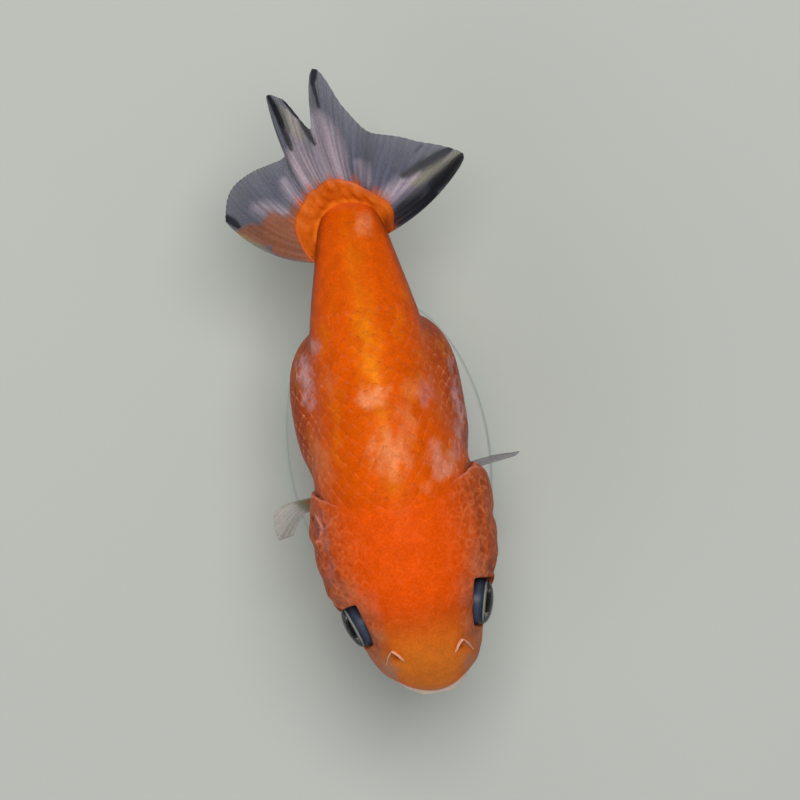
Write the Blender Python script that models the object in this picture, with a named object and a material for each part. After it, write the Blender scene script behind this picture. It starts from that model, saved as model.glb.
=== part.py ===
"""Ranchu goldfish as a still, life-size model on a plain display stand.

Metres, +Z up. The snout points towards -Y and the fish's own left side is +X. The origin is the middle
of the stand's underside. The tables are in millimetres in the fish's frame: along is measured backwards
from the snout, across to the fish's left, and height from the line through mouth and tail. place()
turns these into metres.
"""

import math

import bmesh
import bpy
from mathutils import Matrix, Vector

MM = 0.001

# Driving dimensions, in millimetres.
BODY_LENGTH = 95.0          # snout to the end of the tail stalk
STAND_ALONG = 46.0          # the rod stands this far behind the snout
BELLY_CLEARANCE = 20.0      # from the top of the stand's base to the belly
BASE_HALF_WIDTH = 20.0
BASE_HALF_LENGTH = 32.0
BASE_THICKNESS = 5.0
ROD_RADIUS = 2.0
COLLAR_RADIUS = 4.6
COLLAR_HEIGHT = 2.6
GAP = 0.3                   # clearance between neighbouring pieces
FIN_THICKNESS = 0.6

# Back and head as a rounded tube: along, half width, top, bottom.
TUBE = (
    (0.0, 2.6, 0.0, -5.4),
    (1.2, 4.8, 3.0, -7.6),
    (3.0, 6.8, 6.4, -9.8),
    (6.0, 9.4, 10.8, -12.4),
    (10.0, 11.1, 14.8, -14.8),
    (15.0, 12.1, 18.0, -17.0),
    (20.0, 14.7, 20.0, -18.8),
    (25.0, 15.4, 21.1, -20.2),
    (31.0, 15.5, 21.8, -21.4),
    (38.0, 15.4, 22.0, -22.0),
    (46.0, 14.7, 22.2, -22.0),
    (54.0, 13.3, 21.7, -20.0),
    (62.0, 12.2, 20.2, -16.2),
    (70.0, 10.9, 17.2, -11.6),
    (76.0, 9.7, 14.0, -8.4),
    (82.0, 8.3, 10.0, -6.8),
    (88.0, 6.9, 5.2, -6.4),
    (92.0, 5.6, 1.0, -6.6),
    (95.0, 3.4, -2.6, -6.0),
)
TUBE_ROUNDNESS = 2.15       # exponent of the cross-section, 2 is an ellipse

# Belly sac, which bulges below and beside the back.
SAC_MIDDLE = 55.0
SAC_HALF_LENGTH = 18.2
SAC_HALF_WIDTH = 16.5
SAC_HEIGHT = -4.6
SAC_HALF_DEPTH = 19.4
SAC_BLUNTNESS = 2.8
SAC_BLEND = 2.0

# Slow sideways bend of the body: along, across.
SPINE = (
    (0.0, 1.5),
    (10.0, 0.75),
    (22.0, 0.35),
    (40.0, 0.15),
    (56.0, -0.4),
    (72.0, -0.2),
    (86.0, 0.1),
    (95.0, 0.2),
)

# Gill covers: the rear edge runs along GILL_EDGE at the flank and leans forward above and below it.
GILL_EDGE = 42.0
GILL_FRONT = 26.0
GILL_BULGE = 2.1
GILL_TUCK = 0.6             # share of the bulge lost again at the rear edge
GILL_LOWEST_TURN = 95.0     # degrees from the top where the edge lies furthest back
GILL_LEAN = 4.0             # how far forward it leans 50 degrees away
GILL_MOST_LEAN = 5.0
GILL_REACH = 8.0
GILL_TURNS = (42.0, 142.0)
GILL_ROUNDNESS = 2.6
GILL_DEPTH = 1.8

TRUNK_END = 76.0
EYE_ALONG = 16.5
EYE_ACROSS = 10.2
EYE_HEIGHT = 5.6
EYE_RADIUS = 4.5
EYE_FLATNESS = 0.92
EYE_TURN = 17.0             # degrees that each eye looks forward
EYE_LIFT = 12.0             # degrees that each eye looks up
SOCKET_FLARE = 0.35         # the orbit widens outwards by this share
MOUTH_HEIGHT = -3.4
JAW_LENGTH = 6.4
JAW_HALF_WIDTH = 6.0
JAW_DEPTH = 7.0

# Tail rays from the fish's right leading edge round to its left one: how far round the tail base the
# ray starts, its heading, its reach in plan, its rise at the tip and how far it bows sideways. Angles
# are in degrees from straight back, positive towards the fish's right.
TAIL_RAYS = (
    (135.0, 58.5, 22.0, -2.0, 3.6),
    (100.0, 48.3, 19.9, -0.5, 2.0),
    (80.0, 38.1, 17.4, 0.5, 1.0),
    (62.0, 30.5, 14.8, 1.0, 0.6),
    (48.0, 22.6, 13.6, 2.0, 0.8),
    (36.0, 17.7, 24.0, 10.0, 1.6),
    (22.0, 15.6, 22.3, 11.5, 1.4),
    (8.0, 12.4, 14.8, 8.6, 1.0),
    (-6.0, 5.0, 25.7, 12.5, 1.2),
    (-22.0, -1.1, 17.7, 9.0, 0.8),
    (-40.0, -14.4, 13.9, 5.0, 0.2),
    (-60.0, -36.7, 15.4, 2.0, -0.3),
    (-80.0, -58.9, 20.6, 0.0, -0.8),
    (-102.0, -57.0, 19.8, -2.4, -1.8),
)
TAIL_BASE_MIDDLE = 88.0
TAIL_BASE_HALF_WIDTH = 6.2
TAIL_BASE_HALF_LENGTH = 6.4
TAIL_BASE_HEIGHT = -2.4
TAIL_BASE_REACH = 3.6       # the fleshy base covers this much of each ray
TAIL_BASE_THICKNESS = 2.2
TAIL_ARCH = 1.2             # each ray rises this much above its chord
TAIL_LOBES = (
    ("tail_lobe_right_outer", 0.0, 4.0),
    ("tail_lobe_right_inner", 4.0, 7.0),
    ("tail_lobe_left_inner", 7.0, 10.0),
    ("tail_lobe_left_outer", 10.0, 13.0),
)

AXIS_HEIGHT = BASE_THICKNESS + BELLY_CLEARANCE - (SAC_HEIGHT - SAC_HALF_DEPTH)


def clear_scene():
    for obj in list(bpy.data.objects):
        bpy.data.objects.remove(obj)


def place(across, along, height):
    """A point of the fish's frame in metres."""
    return Vector((across, along - STAND_ALONG, height + AXIS_HEIGHT)) * MM


def through(stations, column, at):
    """Smooth curve through one column of a table, which never overshoots its stations."""
    last = len(stations) - 1
    at = min(max(at, stations[0][0]), stations[last][0])
    i = max(k for k in range(last) if stations[k][0] <= at)

    def slope(k):
        return (stations[k + 1][column] - stations[k][column]) / (stations[k + 1][0] - stations[k][0])

    def tangent(k):
        if k in (0, last):
            return slope(min(k, last - 1))
        before, after = slope(k - 1), slope(k)
        return 0.0 if before * after <= 0 else 2 * before * after / (before + after)

    step = stations[i + 1][0] - stations[i][0]
    u = (at - stations[i][0]) / step
    return (
        stations[i][column] * (1 + 2 * u) * (1 - u) ** 2
        + stations[i + 1][column] * u * u * (3 - 2 * u)
        + step * tangent(i) * u * (1 - u) ** 2
        - step * tangent(i + 1) * u * u * (1 - u)
    )


def ease(low, high, value):
    u = min(max((value - low) / (high - low), 0.0), 1.0)
    return u * u * (3 - 2 * u)


def sac_radius(along, centre, s, c):
    """Distance from the tube's centre to the belly sac in the direction (s, c), or 0 if it misses."""
    reach = abs((along - SAC_MIDDLE) / SAC_HALF_LENGTH)
    if reach >= 1:
        return 0.0
    share = (1 - reach**SAC_BLUNTNESS) ** (1 / SAC_BLUNTNESS)
    wide, deep = SAC_HALF_WIDTH * share, SAC_HALF_DEPTH * share
    offset = centre - SAC_HEIGHT
    a = (s / wide) ** 2 + (c / deep) ** 2
    b = offset * c / deep**2
    inside = b * b + a * (1 - (offset / deep) ** 2)
    return (math.sqrt(inside) - b) / a if inside > 0 else 0.0


def gill_lean(along, turn):
    """How far the rings lean forward beside the gill covers' rear edge."""
    away = GILL_LEAN * ((abs(turn) - GILL_LOWEST_TURN) / 50) ** 2
    most = GILL_MOST_LEAN * math.tanh(away / GILL_MOST_LEAN)
    return -most * math.exp(-(((along - GILL_EDGE) / GILL_REACH) ** 2))


def gill_bulge(along, turn):
    if along > GILL_EDGE:
        return 0.0
    sides = ease(22, 60, abs(turn)) * (1 - ease(125, 165, abs(turn)))
    return GILL_BULGE * sides * ease(15, 29, along) * (1 - GILL_TUCK * ease(33, GILL_EDGE, along))


def body_point(along, turn, grow=0.0):
    """Point on the body's surface, turn degrees round from the top towards the fish's left."""
    half, top, bottom = (through(TUBE, column, along) for column in (1, 2, 3))
    centre, tall = (top + bottom) / 2, (top - bottom) / 2
    s, c = math.sin(math.radians(turn)), math.cos(math.radians(turn))
    n = TUBE_ROUNDNESS
    tube = ((abs(s) / half) ** n + (abs(c) / tall) ** n) ** (-1 / n)
    sac = sac_radius(along, centre, s, c)
    h = min(max(0.5 + 0.5 * (sac - tube) / SAC_BLEND, 0.0), 1.0)
    radius = tube + (sac - tube) * h + SAC_BLEND * h * (1 - h) * 0.5
    radius += gill_bulge(along, turn) + grow
    leaned = along + gill_lean(along, turn)
    return place(radius * s + through(SPINE, 1, along), leaned, centre + radius * c)


def finish_object(name, mesh, material):
    obj = bpy.data.objects.new(name, mesh)
    bpy.context.scene.collection.objects.link(obj)
    mesh.materials.append(material)
    mesh.shade_smooth()
    return obj


def mesh_from(bm, name):
    bmesh.ops.recalc_face_normals(bm, faces=bm.faces)
    mesh = bpy.data.meshes.new(name)
    bm.to_mesh(mesh)
    bm.free()
    return mesh


def body_length(name, stops, material, grow=0.0, cap_along=None, around=36):
    """A closed length of the body, with a ring at each stop. cap_along gives the middle of its ends."""
    bm = bmesh.new()
    rings = []
    for along in stops:
        turns = (360 * k / around - 180 for k in range(around))
        rings.append([bm.verts.new(body_point(along, turn, grow)) for turn in turns])
    for ring, following in zip(rings, rings[1:]):
        for k in range(around):
            following_k = (k + 1) % around
            bm.faces.new((ring[k], ring[following_k], following[following_k], following[k]))
    for ring, along in zip((rings[0], rings[-1]), cap_along or (stops[0], stops[-1])):
        middle_height = sum((v.co.z for v in ring)) / around
        middle = bm.verts.new((through(SPINE, 1, along) * MM, (along - STAND_ALONG) * MM, middle_height))
        for k in range(around):
            bm.faces.new((ring[k], ring[(k + 1) % around], middle))
    return finish_object(name, mesh_from(bm, name), material)


def stops_between(start, end, count, crowding=1.0):
    """Evenly eased stops. A crowding above 1 sets them closer near the start."""
    return [start + (end - start) * (k / (count - 1)) ** crowding for k in range(count)]


def hide(obj):
    """Makes the object a cutter, which is no part of the model."""
    obj.hide_render = True
    obj.display_type = "WIRE"
    return obj


def combine(obj, other, operation):
    cut = obj.modifiers.new(f"{operation.lower()} {other.name}", "BOOLEAN")
    cut.operation = operation
    cut.solver = "EXACT"
    cut.object = other


def box(name, low, high, material):
    """Box between two corners given as across, along, height."""
    a, b = place(*low), place(*high)
    bm = bmesh.new()
    bmesh.ops.create_cube(bm, size=1.0)
    middle, size = (a + b) / 2, b - a
    bmesh.ops.transform(bm, matrix=Matrix.Translation(middle) @ Matrix.Diagonal((*size, 1)), verts=bm.verts)
    return finish_object(name, mesh_from(bm, name), material)


def gill_front(turn, spare):
    """Where the cover's rounded front edge lies at this turn."""
    low, high = GILL_TURNS
    share = abs(2 * (turn - low) / (high - low) - 1)
    reach = max(1 - share**GILL_ROUNDNESS, 0.0) ** (1 / GILL_ROUNDNESS)
    return GILL_EDGE - 2.0 - (GILL_EDGE - 2.0 - GILL_FRONT) * reach - spare


def gill_cover(name, side, material, spare=0.0):
    """Plate that follows the cheek, GILL_DEPTH thick. spare grows it into the pocket that it lies in."""
    rows, columns = 7, 11
    degrees_spare = spare * 3.4
    turns = stops_between(GILL_TURNS[0] - degrees_spare, GILL_TURNS[1] + degrees_spare, columns)
    bm = bmesh.new()
    layers = []
    for depth in (-GILL_DEPTH - spare, spare * 4):
        grid = []
        for i in range(rows):
            row = []
            for turn in turns:
                front = gill_front(turn, spare)
                along = front + (GILL_EDGE - front) * i / (rows - 1)
                row.append(bm.verts.new(body_point(along, side * turn, depth)))
            grid.append(row)
        for v in grid[-1]:
            v.co.y += 2 * spare * MM
        layers.append(grid)
    inner, outer = layers
    for i in range(rows - 1):
        for j in range(columns - 1):
            for grid in (inner, outer):
                bm.faces.new((grid[i][j], grid[i + 1][j], grid[i + 1][j + 1], grid[i][j + 1]))
    rim = [(0, j) for j in range(columns)] + [(i, columns - 1) for i in range(1, rows)]
    rim += [(rows - 1, j) for j in range(columns - 2, -1, -1)] + [(i, 0) for i in range(rows - 2, 0, -1)]
    for (i, j), (k, m) in zip(rim, rim[1:] + rim[:1]):
        bm.faces.new((inner[i][j], inner[k][m], outer[k][m], outer[i][j]))
    return finish_object(name, mesh_from(bm, name), material)


def eyeball(name, side, material, spare=0.0, flare=0.0):
    """Eye as a slightly flattened ball whose axis looks outward, a little forward and a little up. Its
    orbit is the same ball grown by spare, with its outer half drawn out and widened by flare."""
    radius = EYE_RADIUS + spare
    bm = bmesh.new()
    bmesh.ops.create_uvsphere(bm, u_segments=18, v_segments=11, radius=radius)
    for v in bm.verts:
        outward = max(v.co.z, 0.0) / radius
        across = 1 + flare * outward
        longer = EYE_FLATNESS * (1 + 2 * flare * (v.co.z > 0))
        v.co = Vector((v.co.x * across, v.co.y * across, v.co.z * longer)) * MM
    bend = math.atan((through(SPINE, 1, 20) - through(SPINE, 1, 10)) / 10)
    towards = Matrix.Rotation(-side * math.radians(EYE_TURN) - bend, 4, "Z")
    towards @= Matrix.Rotation(side * math.radians(90 - EYE_LIFT), 4, "Y")
    bmesh.ops.transform(bm, matrix=towards, verts=bm.verts)
    centre = place(side * EYE_ACROSS + through(SPINE, 1, EYE_ALONG), EYE_ALONG, EYE_HEIGHT)
    bmesh.ops.translate(bm, vec=centre, verts=bm.verts)
    return finish_object(name, mesh_from(bm, name), material)


def jaw_zone(name, material, spare=0.0):
    """Lower half of a ball below the mouth line, which takes the lower jaw out of the head."""
    bm = bmesh.new()
    bmesh.ops.create_uvsphere(bm, u_segments=24, v_segments=12, radius=1.0)
    half, length, depth = (size + spare for size in (JAW_HALF_WIDTH, JAW_LENGTH, JAW_DEPTH))
    for v in bm.verts:
        x, y, z = v.co
        height = MOUTH_HEIGHT + spare + depth * min(z, 0.0)
        v.co = place(x * half + through(SPINE, 1, 1.0), y * length, height)
    bmesh.ops.remove_doubles(bm, verts=bm.verts, dist=1e-6)
    return finish_object(name, mesh_from(bm, name), material)


def fan(name, rays, thickness, material, along_count=6):
    """Fin as a thickened sheet. rays is a list of (root, middle, tip), each ray a quadratic curve."""
    bm = bmesh.new()
    rows = []
    for root, middle, tip in rays:
        row = []
        for k in range(along_count):
            u = k / (along_count - 1)
            row.append(bm.verts.new(root * (1 - u) ** 2 + middle * 2 * u * (1 - u) + tip * u * u))
        rows.append(row)
    for row, following in zip(rows, rows[1:]):
        for k in range(along_count - 1):
            bm.faces.new((row[k], following[k], following[k + 1], row[k + 1]))
    obj = finish_object(name, mesh_from(bm, name), material)
    thick = obj.modifiers.new("thickness", "SOLIDIFY")
    thick.thickness = thickness * MM
    thick.offset = 0.0
    thick.use_even_offset = True
    return obj


def tail_ray(index, start, end=None, shift=0.0):
    """Tail ray at a fractional index, as (root, middle, tip) in metres. start and end are measured along
    it in millimetres, and shift moves it towards the fish's right."""
    low = min(int(index), len(TAIL_RAYS) - 2)
    table = [(k, *TAIL_RAYS[k]) for k in range(max(low - 1, 0), min(low + 3, len(TAIL_RAYS)))]
    base_turn, heading, reach, rise, bow = (through(table, column, index) for column in range(1, 6))
    turned, headed = math.radians(base_turn), math.radians(heading)
    ahead = Vector((-math.sin(headed), math.cos(headed), 0.0))
    aside = Vector((-math.cos(headed), -math.sin(headed), 0.0))
    root = aside * shift + Vector((
        -TAIL_BASE_HALF_WIDTH * math.sin(turned),
        TAIL_BASE_MIDDLE + TAIL_BASE_HALF_LENGTH * math.cos(turned),
        TAIL_BASE_HEIGHT,
    ))
    tip = root + ahead * reach + Vector((0, 0, rise))
    middle = (root + tip) / 2 + (aside * bow + Vector((0, 0, TAIL_ARCH))) * 2

    def on_curve(u):
        return root * (1 - u) ** 2 + middle * 2 * u * (1 - u) + tip * u * u

    from_u, to_u = start / reach, (end or reach) / reach
    first, final = on_curve(from_u), on_curve(to_u)
    between = on_curve((from_u + to_u) / 2) * 2 - (first + final) / 2
    return tuple(place(p.x, p.y, p.z) for p in (first, between, final))


def tail_lobe(name, first, last, material):
    """One lobe of the tail fan, parted from its neighbours by a thin cut along a ray."""
    count = round((last - first) * 3) + 1
    last_ray = len(TAIL_RAYS) - 1
    rays = []
    for k, index in enumerate(stops_between(first, last, count)):
        shift = -GAP if k == 0 and first > 0 else GAP if k == count - 1 and last < last_ray else 0.0
        rays.append(tail_ray(index, TAIL_BASE_REACH + 1.5 * GAP, shift=shift))
    return fan(name, rays, FIN_THICKNESS, material)


def tail_base(material):
    """Fleshy collar round the end of the tail stalk, from which the rays grow."""
    indices = stops_between(0, len(TAIL_RAYS) - 1, 30)
    rays = [tail_ray(index, 0.0, TAIL_BASE_REACH) for index in indices]
    return fan("tail_base", rays, TAIL_BASE_THICKNESS, material, along_count=3)


# Paired fins: root's front and rear ends, then each ray's tip, all as across, along, height on the
# fish's left. The right one is its mirror image unless it has a row of its own.
SMALL_FINS = {
    "pectoral_fin_left": (
        (11.8, 39.8, -13.4), (10.8, 41.2, -16.4),
        ((24.3, 41.6, -9.6), (25.0, 42.0, -13.0), (22.4, 42.4, -17.6), (17.0, 42.6, -20.8)),
    ),
    "pectoral_fin_right": (
        (-11.8, 40.4, -13.0), (-11.4, 39.6, -16.0),
        ((-23.4, 39.8, -11.4), (-24.2, 37.2, -12.6), (-22.6, 33.2, -14.6), (-18.6, 32.4, -16.6)),
    ),
    "pelvic_fin_left": (
        (6.2, 49.0, -20.4), (3.6, 52.6, -21.6),
        ((14.0, 60.6, -25.0), (12.2, 63.0, -26.6), (8.8, 63.4, -27.6), (5.6, 61.0, -27.4)),
    ),
    "anal_fin_left": (
        (2.4, 72.6, -9.6), (2.0, 78.6, -6.2),
        ((5.6, 80.6, -16.8), (5.2, 83.6, -15.8), (4.4, 85.6, -13.6), (3.2, 85.6, -10.4)),
    ),
}


def small_fin(name, front, rear, tips, side, material):
    """Fin whose rays fan out from a short root."""
    def mirrored(point):
        return Vector((side * point[0], point[1], point[2]))

    front, rear = mirrored(front), mirrored(rear)
    table = [(k, *mirrored(tip)) for k, tip in enumerate(tips)]
    rays = []
    for share in stops_between(0, 1, 8):
        root = front.lerp(rear, share)
        tip = Vector([through(table, column, share * (len(tips) - 1)) for column in (1, 2, 3)])
        bow = Vector((0, 0, 0.06 * (tip - root).length))
        rays.append(tuple(place(*p) for p in (root, (root + tip) / 2 + bow, tip)))
    return fan(name, rays, FIN_THICKNESS, material)


def surface_on_top(across, along):
    """Turn at which the body's upper surface lies above a point given in plan."""
    low, high = 0.0, 89.0
    side = 1 if across >= 0 else -1
    centre = through(SPINE, 1, along)
    for _ in range(30):
        middle = (low + high) / 2
        if side * (body_point(along, side * middle).x / MM - centre) < abs(across):
            low = middle
        else:
            high = middle
    return side * (low + high) / 2


def nostril_flap(name, side, material):
    """V-shaped flap of skin beside each nostril, standing on the snout with its point to the rear."""
    corners = ((4.9, 6.9), (6.7, 9.3), (8.5, 7.0))
    height, thickness = 1.1, 0.55
    rows = []
    for across, along in corners:
        turn = surface_on_top(side * across, along)
        foot = body_point(along, turn, GAP)
        crest = body_point(along, turn, GAP + height)
        rows.append((foot, crest))
    bm = bmesh.new()
    sheet = [[bm.verts.new(foot), bm.verts.new(foot.lerp(crest, 0.5)), bm.verts.new(crest)] for foot, crest in rows]
    for row, following in zip(sheet, sheet[1:]):
        for k in range(2):
            bm.faces.new((row[k], row[k + 1], following[k + 1], following[k]))
    obj = finish_object(name, mesh_from(bm, name), material)
    thick = obj.modifiers.new("thickness", "SOLIDIFY")
    thick.thickness = thickness * MM
    thick.offset = 0.0
    return obj


def turned_piece(name, outline, squash, material, segments):
    """Upright turned piece at the origin, from (radius, height) pairs in millimetres."""
    bm = bmesh.new()
    rings = []
    for radius, height in outline:
        ring = []
        for k in range(segments):
            a = 2 * math.pi * k / segments
            ring.append(bm.verts.new((radius * math.cos(a) * squash * MM, radius * math.sin(a) * MM, height * MM)))
        rings.append(ring)
    for ring, following in zip(rings, rings[1:]):
        for k in range(segments):
            following_k = (k + 1) % segments
            bm.faces.new((ring[k], ring[following_k], following[following_k], following[k]))
    bm.faces.new(rings[0])
    bm.faces.new(rings[-1])
    return finish_object(name, mesh_from(bm, name), material)


def stand(metal, steel, body_grown):
    """Oval base, collar and one rod that ends just under the belly."""
    edge = 1.0
    base = (
        (BASE_HALF_LENGTH - edge, 0), (BASE_HALF_LENGTH, edge),
        (BASE_HALF_LENGTH, BASE_THICKNESS - edge), (BASE_HALF_LENGTH - edge, BASE_THICKNESS),
    )
    turned_piece("stand_base", base, BASE_HALF_WIDTH / BASE_HALF_LENGTH, metal, 48)
    foot = BASE_THICKNESS + GAP
    hole = ROD_RADIUS + GAP
    top = foot + COLLAR_HEIGHT
    collar = turned_piece(
        "stand_collar",
        ((COLLAR_RADIUS, foot), (COLLAR_RADIUS, top - 0.6), (COLLAR_RADIUS - 0.6, top)), 1, steel, 24,
    )
    bore = hide(turned_piece("cutter_bore", ((hole, 0), (hole, top + 5)), 1, steel, 20))
    combine(collar, bore, "DIFFERENCE")
    rod = turned_piece("stand_rod", ((ROD_RADIUS, foot), (ROD_RADIUS, foot + BELLY_CLEARANCE + 6)), 1, steel, 16)
    combine(rod, body_grown, "DIFFERENCE")


def paint(name, colour, roughness, metallic=0.0):
    material = bpy.data.materials.new(name)
    material.use_nodes = True
    shader = material.node_tree.nodes["Principled BSDF"]
    shader.inputs["Base Color"].default_value = (*colour, 1.0)
    shader.inputs["Roughness"].default_value = roughness
    shader.inputs["Metallic"].default_value = metallic
    return material


def flesh(skin, pale):
    """Head, lower jaw, gill covers, trunk and tail stalk, parted by thin cuts."""
    head_stops = stops_between(0, 30, 14, 1.4) + [34.0, 38.0, GILL_EDGE]
    trunk_stops = stops_between(GILL_EDGE + GAP, 66, 8) + stops_between(68.5, TRUNK_END, 5)
    stalk_stops = stops_between(TRUNK_END + GAP, BODY_LENGTH, 8)
    head = body_length("head", head_stops, skin, cap_along=(0.0, 38.0))
    body_length("trunk", trunk_stops, skin, cap_along=(38.0 + GAP, TRUNK_END))
    body_length("tail_stalk", stalk_stops, skin)
    whole_stops = head_stops + trunk_stops + stalk_stops
    grown = hide(body_length("cutter_body", whole_stops, skin, grow=GAP, cap_along=(-GAP, BODY_LENGTH + GAP)))

    jaw = bpy.data.objects.new("lower_jaw", head.data.copy())
    bpy.context.scene.collection.objects.link(jaw)
    jaw.data.materials[0] = pale
    combine(jaw, hide(jaw_zone("cutter_jaw", skin)), "INTERSECT")
    combine(head, hide(jaw_zone("cutter_jaw_wider", skin, GAP)), "DIFFERENCE")

    for side, word in ((1, "left"), (-1, "right")):
        gill_cover(f"gill_cover_{word}", side, skin)
        combine(head, hide(gill_cover(f"cutter_gill_{word}", side, skin, GAP)), "DIFFERENCE")
    return head, grown


def main():
    clear_scene()
    orange = paint("orange skin", (0.78, 0.13, 0.01), 0.45)
    pale = paint("pale lip", (0.72, 0.42, 0.2), 0.45)
    membrane = paint("fin membrane", (0.32, 0.31, 0.38), 0.5)
    dark = paint("eye", (0.02, 0.02, 0.025), 0.15)
    coated = paint("stand coating", (0.55, 0.56, 0.54), 0.5)
    steel = paint("steel", (0.6, 0.6, 0.6), 0.3, 1.0)

    head, grown = flesh(orange, pale)
    for side, word in ((1, "left"), (-1, "right")):
        eyeball(f"eye_{word}", side, dark)
        orbit = hide(eyeball(f"cutter_eye_{word}", side, dark, GAP, SOCKET_FLARE))
        combine(head, orbit, "DIFFERENCE")
        nostril_flap(f"nostril_flap_{word}", side, pale)
    combine(tail_base(orange), grown, "DIFFERENCE")
    for name, first, last in TAIL_LOBES:
        combine(tail_lobe(name, first, last, membrane), grown, "DIFFERENCE")
    for name, (front, rear, tips) in SMALL_FINS.items():
        combine(small_fin(name, front, rear, tips, 1, membrane), grown, "DIFFERENCE")
        other = name.replace("left", "right")
        if other not in SMALL_FINS:
            combine(small_fin(other, front, rear, tips, -1, membrane), grown, "DIFFERENCE")
    stand(coated, steel, grown)


main()
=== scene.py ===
"""Ranchu goldfish on its display stand: skin, scales, fins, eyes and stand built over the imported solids.

Shapes are worked out in millimetres in the fish's own frame: across to its left, along from the snout
to the tail, and height from the line through mouth and tail. place() turns that into metres. A turn goes
round the body in degrees, from 0 on the back to 180 under the belly, and is positive on the fish's left.
"""

import math
from itertools import product

import bmesh
import bpy
import numpy as np
from mathutils import Matrix, Vector
from mathutils.kdtree import KDTree


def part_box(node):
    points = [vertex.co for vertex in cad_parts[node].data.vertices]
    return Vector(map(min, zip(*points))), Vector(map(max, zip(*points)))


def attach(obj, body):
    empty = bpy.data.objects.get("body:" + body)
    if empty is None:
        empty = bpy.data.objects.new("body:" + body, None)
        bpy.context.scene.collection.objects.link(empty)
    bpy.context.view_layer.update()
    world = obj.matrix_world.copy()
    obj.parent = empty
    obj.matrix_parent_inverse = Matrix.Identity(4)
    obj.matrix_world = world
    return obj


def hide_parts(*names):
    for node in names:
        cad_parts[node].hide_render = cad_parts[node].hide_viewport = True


bl_info = {
    "name": "Ranchu Goldfish on a Stand",
    "version": (1, 0, 0),
    "blender": (4, 5, 0),
    "location": "View3D > Sidebar > Goldfish",
    "description": "Builds the skin, scales, fins, eyes and stand of a life-size goldfish",
    "category": "Add Mesh",
}

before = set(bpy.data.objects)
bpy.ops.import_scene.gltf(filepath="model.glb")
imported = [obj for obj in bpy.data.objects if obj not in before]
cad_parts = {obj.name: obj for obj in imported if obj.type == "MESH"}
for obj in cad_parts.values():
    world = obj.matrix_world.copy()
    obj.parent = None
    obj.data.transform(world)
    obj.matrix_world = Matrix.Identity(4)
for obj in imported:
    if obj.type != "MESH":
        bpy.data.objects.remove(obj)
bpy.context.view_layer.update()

MM = 0.001
SEED = 7
NOISE_WAVES, NOISE_PITCH = 7, 1.4
BELLY_CLEARANCE, BELLY_DEPTH = 20.0, 24.0
STAND_ALONG = -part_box("head")[0].y / MM
AXIS_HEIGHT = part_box("stand_base")[1].z / MM + BELLY_CLEARANCE + BELLY_DEPTH

# The body, as in the solids: along, half width, top, bottom.
TUBE = (
    (0.0, 2.6, 0.0, -5.4),
    (1.2, 4.8, 3.0, -7.6),
    (3.0, 6.8, 6.4, -9.8),
    (6.0, 9.4, 10.8, -12.4),
    (10.0, 11.1, 14.8, -14.8),
    (15.0, 12.1, 18.0, -17.0),
    (20.0, 14.7, 20.0, -18.8),
    (25.0, 15.4, 21.1, -20.2),
    (31.0, 15.5, 21.8, -21.4),
    (38.0, 15.4, 22.0, -22.0),
    (46.0, 14.7, 22.2, -22.0),
    (54.0, 13.3, 21.7, -20.0),
    (62.0, 12.2, 20.2, -16.2),
    (70.0, 10.9, 17.2, -11.6),
    (76.0, 9.7, 14.0, -8.4),
    (82.0, 8.3, 10.0, -6.8),
    (88.0, 6.9, 5.2, -6.4),
    (92.0, 5.6, 1.0, -6.6),
    (95.0, 3.4, -2.6, -6.0),
)
# How far the middle line swings to the fish's left: along, across.
SPINE = (
    (0.0, 1.5),
    (10.0, 0.75),
    (22.0, 0.35),
    (40.0, 0.15),
    (56.0, -0.4),
    (72.0, -0.2),
    (86.0, 0.1),
    (95.0, 0.2),
)
BODY_LENGTH = TUBE[-1][0]
TUBE_ROUNDNESS = 2.15
SAC_MIDDLE, SAC_HALF_LENGTH, SAC_HALF_WIDTH = 55.0, 18.2, 16.5
SAC_HEIGHT, SAC_HALF_DEPTH, SAC_BLUNTNESS, SAC_BLEND = -4.6, 19.4, 2.8, 2.0
GILL_EDGE, GILL_BULGE, GILL_TUCK = 42.0, 2.1, 0.6
GILL_LOWEST_TURN, GILL_LEAN, GILL_MOST_LEAN, GILL_REACH = 95.0, 4.0, 5.0, 8.0
EYE_ALONG, EYE_ACROSS, EYE_HEIGHT, EYE_RADIUS, EYE_FLATNESS = 16.5, 10.2, 5.6, 4.5, 0.92
EYE_TURN, EYE_LIFT = 17.0, 4.0
# On the fish's left, 1, and right, -1: the eye's shift across and back, and how far skin covers its rear.
EYE_SHIFTS = {1: (0.0, 0.0), -1: (0.3, -0.4)}
EYE_REAR_COVER = {1: 0.0, -1: 0.35}
MOUTH_HEIGHT, LIP_DEPTH = -3.4, 0.72
# The left nostril is turned further out.
NOSTRIL_ALONG, NOSTRIL_ACROSS = 8.6, {1: 6.6, -1: 5.8}

# Tail rays: how far round the tail base each starts, its heading, reach, rise and sideways bow.
TAIL_RAYS = (
    (135.0, 58.5, 22.0, -2.0, 2.7),
    (100.0, 48.3, 19.9, -0.5, 2.0),
    (80.0, 38.1, 17.4, 0.5, 1.0),
    (62.0, 30.5, 14.8, 1.0, 0.6),
    (48.0, 22.6, 13.6, 2.0, 0.8),
    (36.0, 17.7, 24.0, 10.0, 1.6),
    (22.0, 15.6, 22.3, 11.5, 1.4),
    (8.0, 12.4, 14.8, 8.6, 1.0),
    (-6.0, 5.0, 25.7, 12.5, 1.2),
    (-22.0, -1.1, 17.7, 9.0, 0.8),
    (-40.0, -14.4, 13.9, 5.0, 0.2),
    (-60.0, -36.7, 15.4, 2.0, -0.3),
    (-80.0, -58.9, 20.6, 0.0, -0.6),
    (-102.0, -57.0, 19.8, -2.4, -1.3),
)
LAST_RAY = len(TAIL_RAYS) - 1
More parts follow.
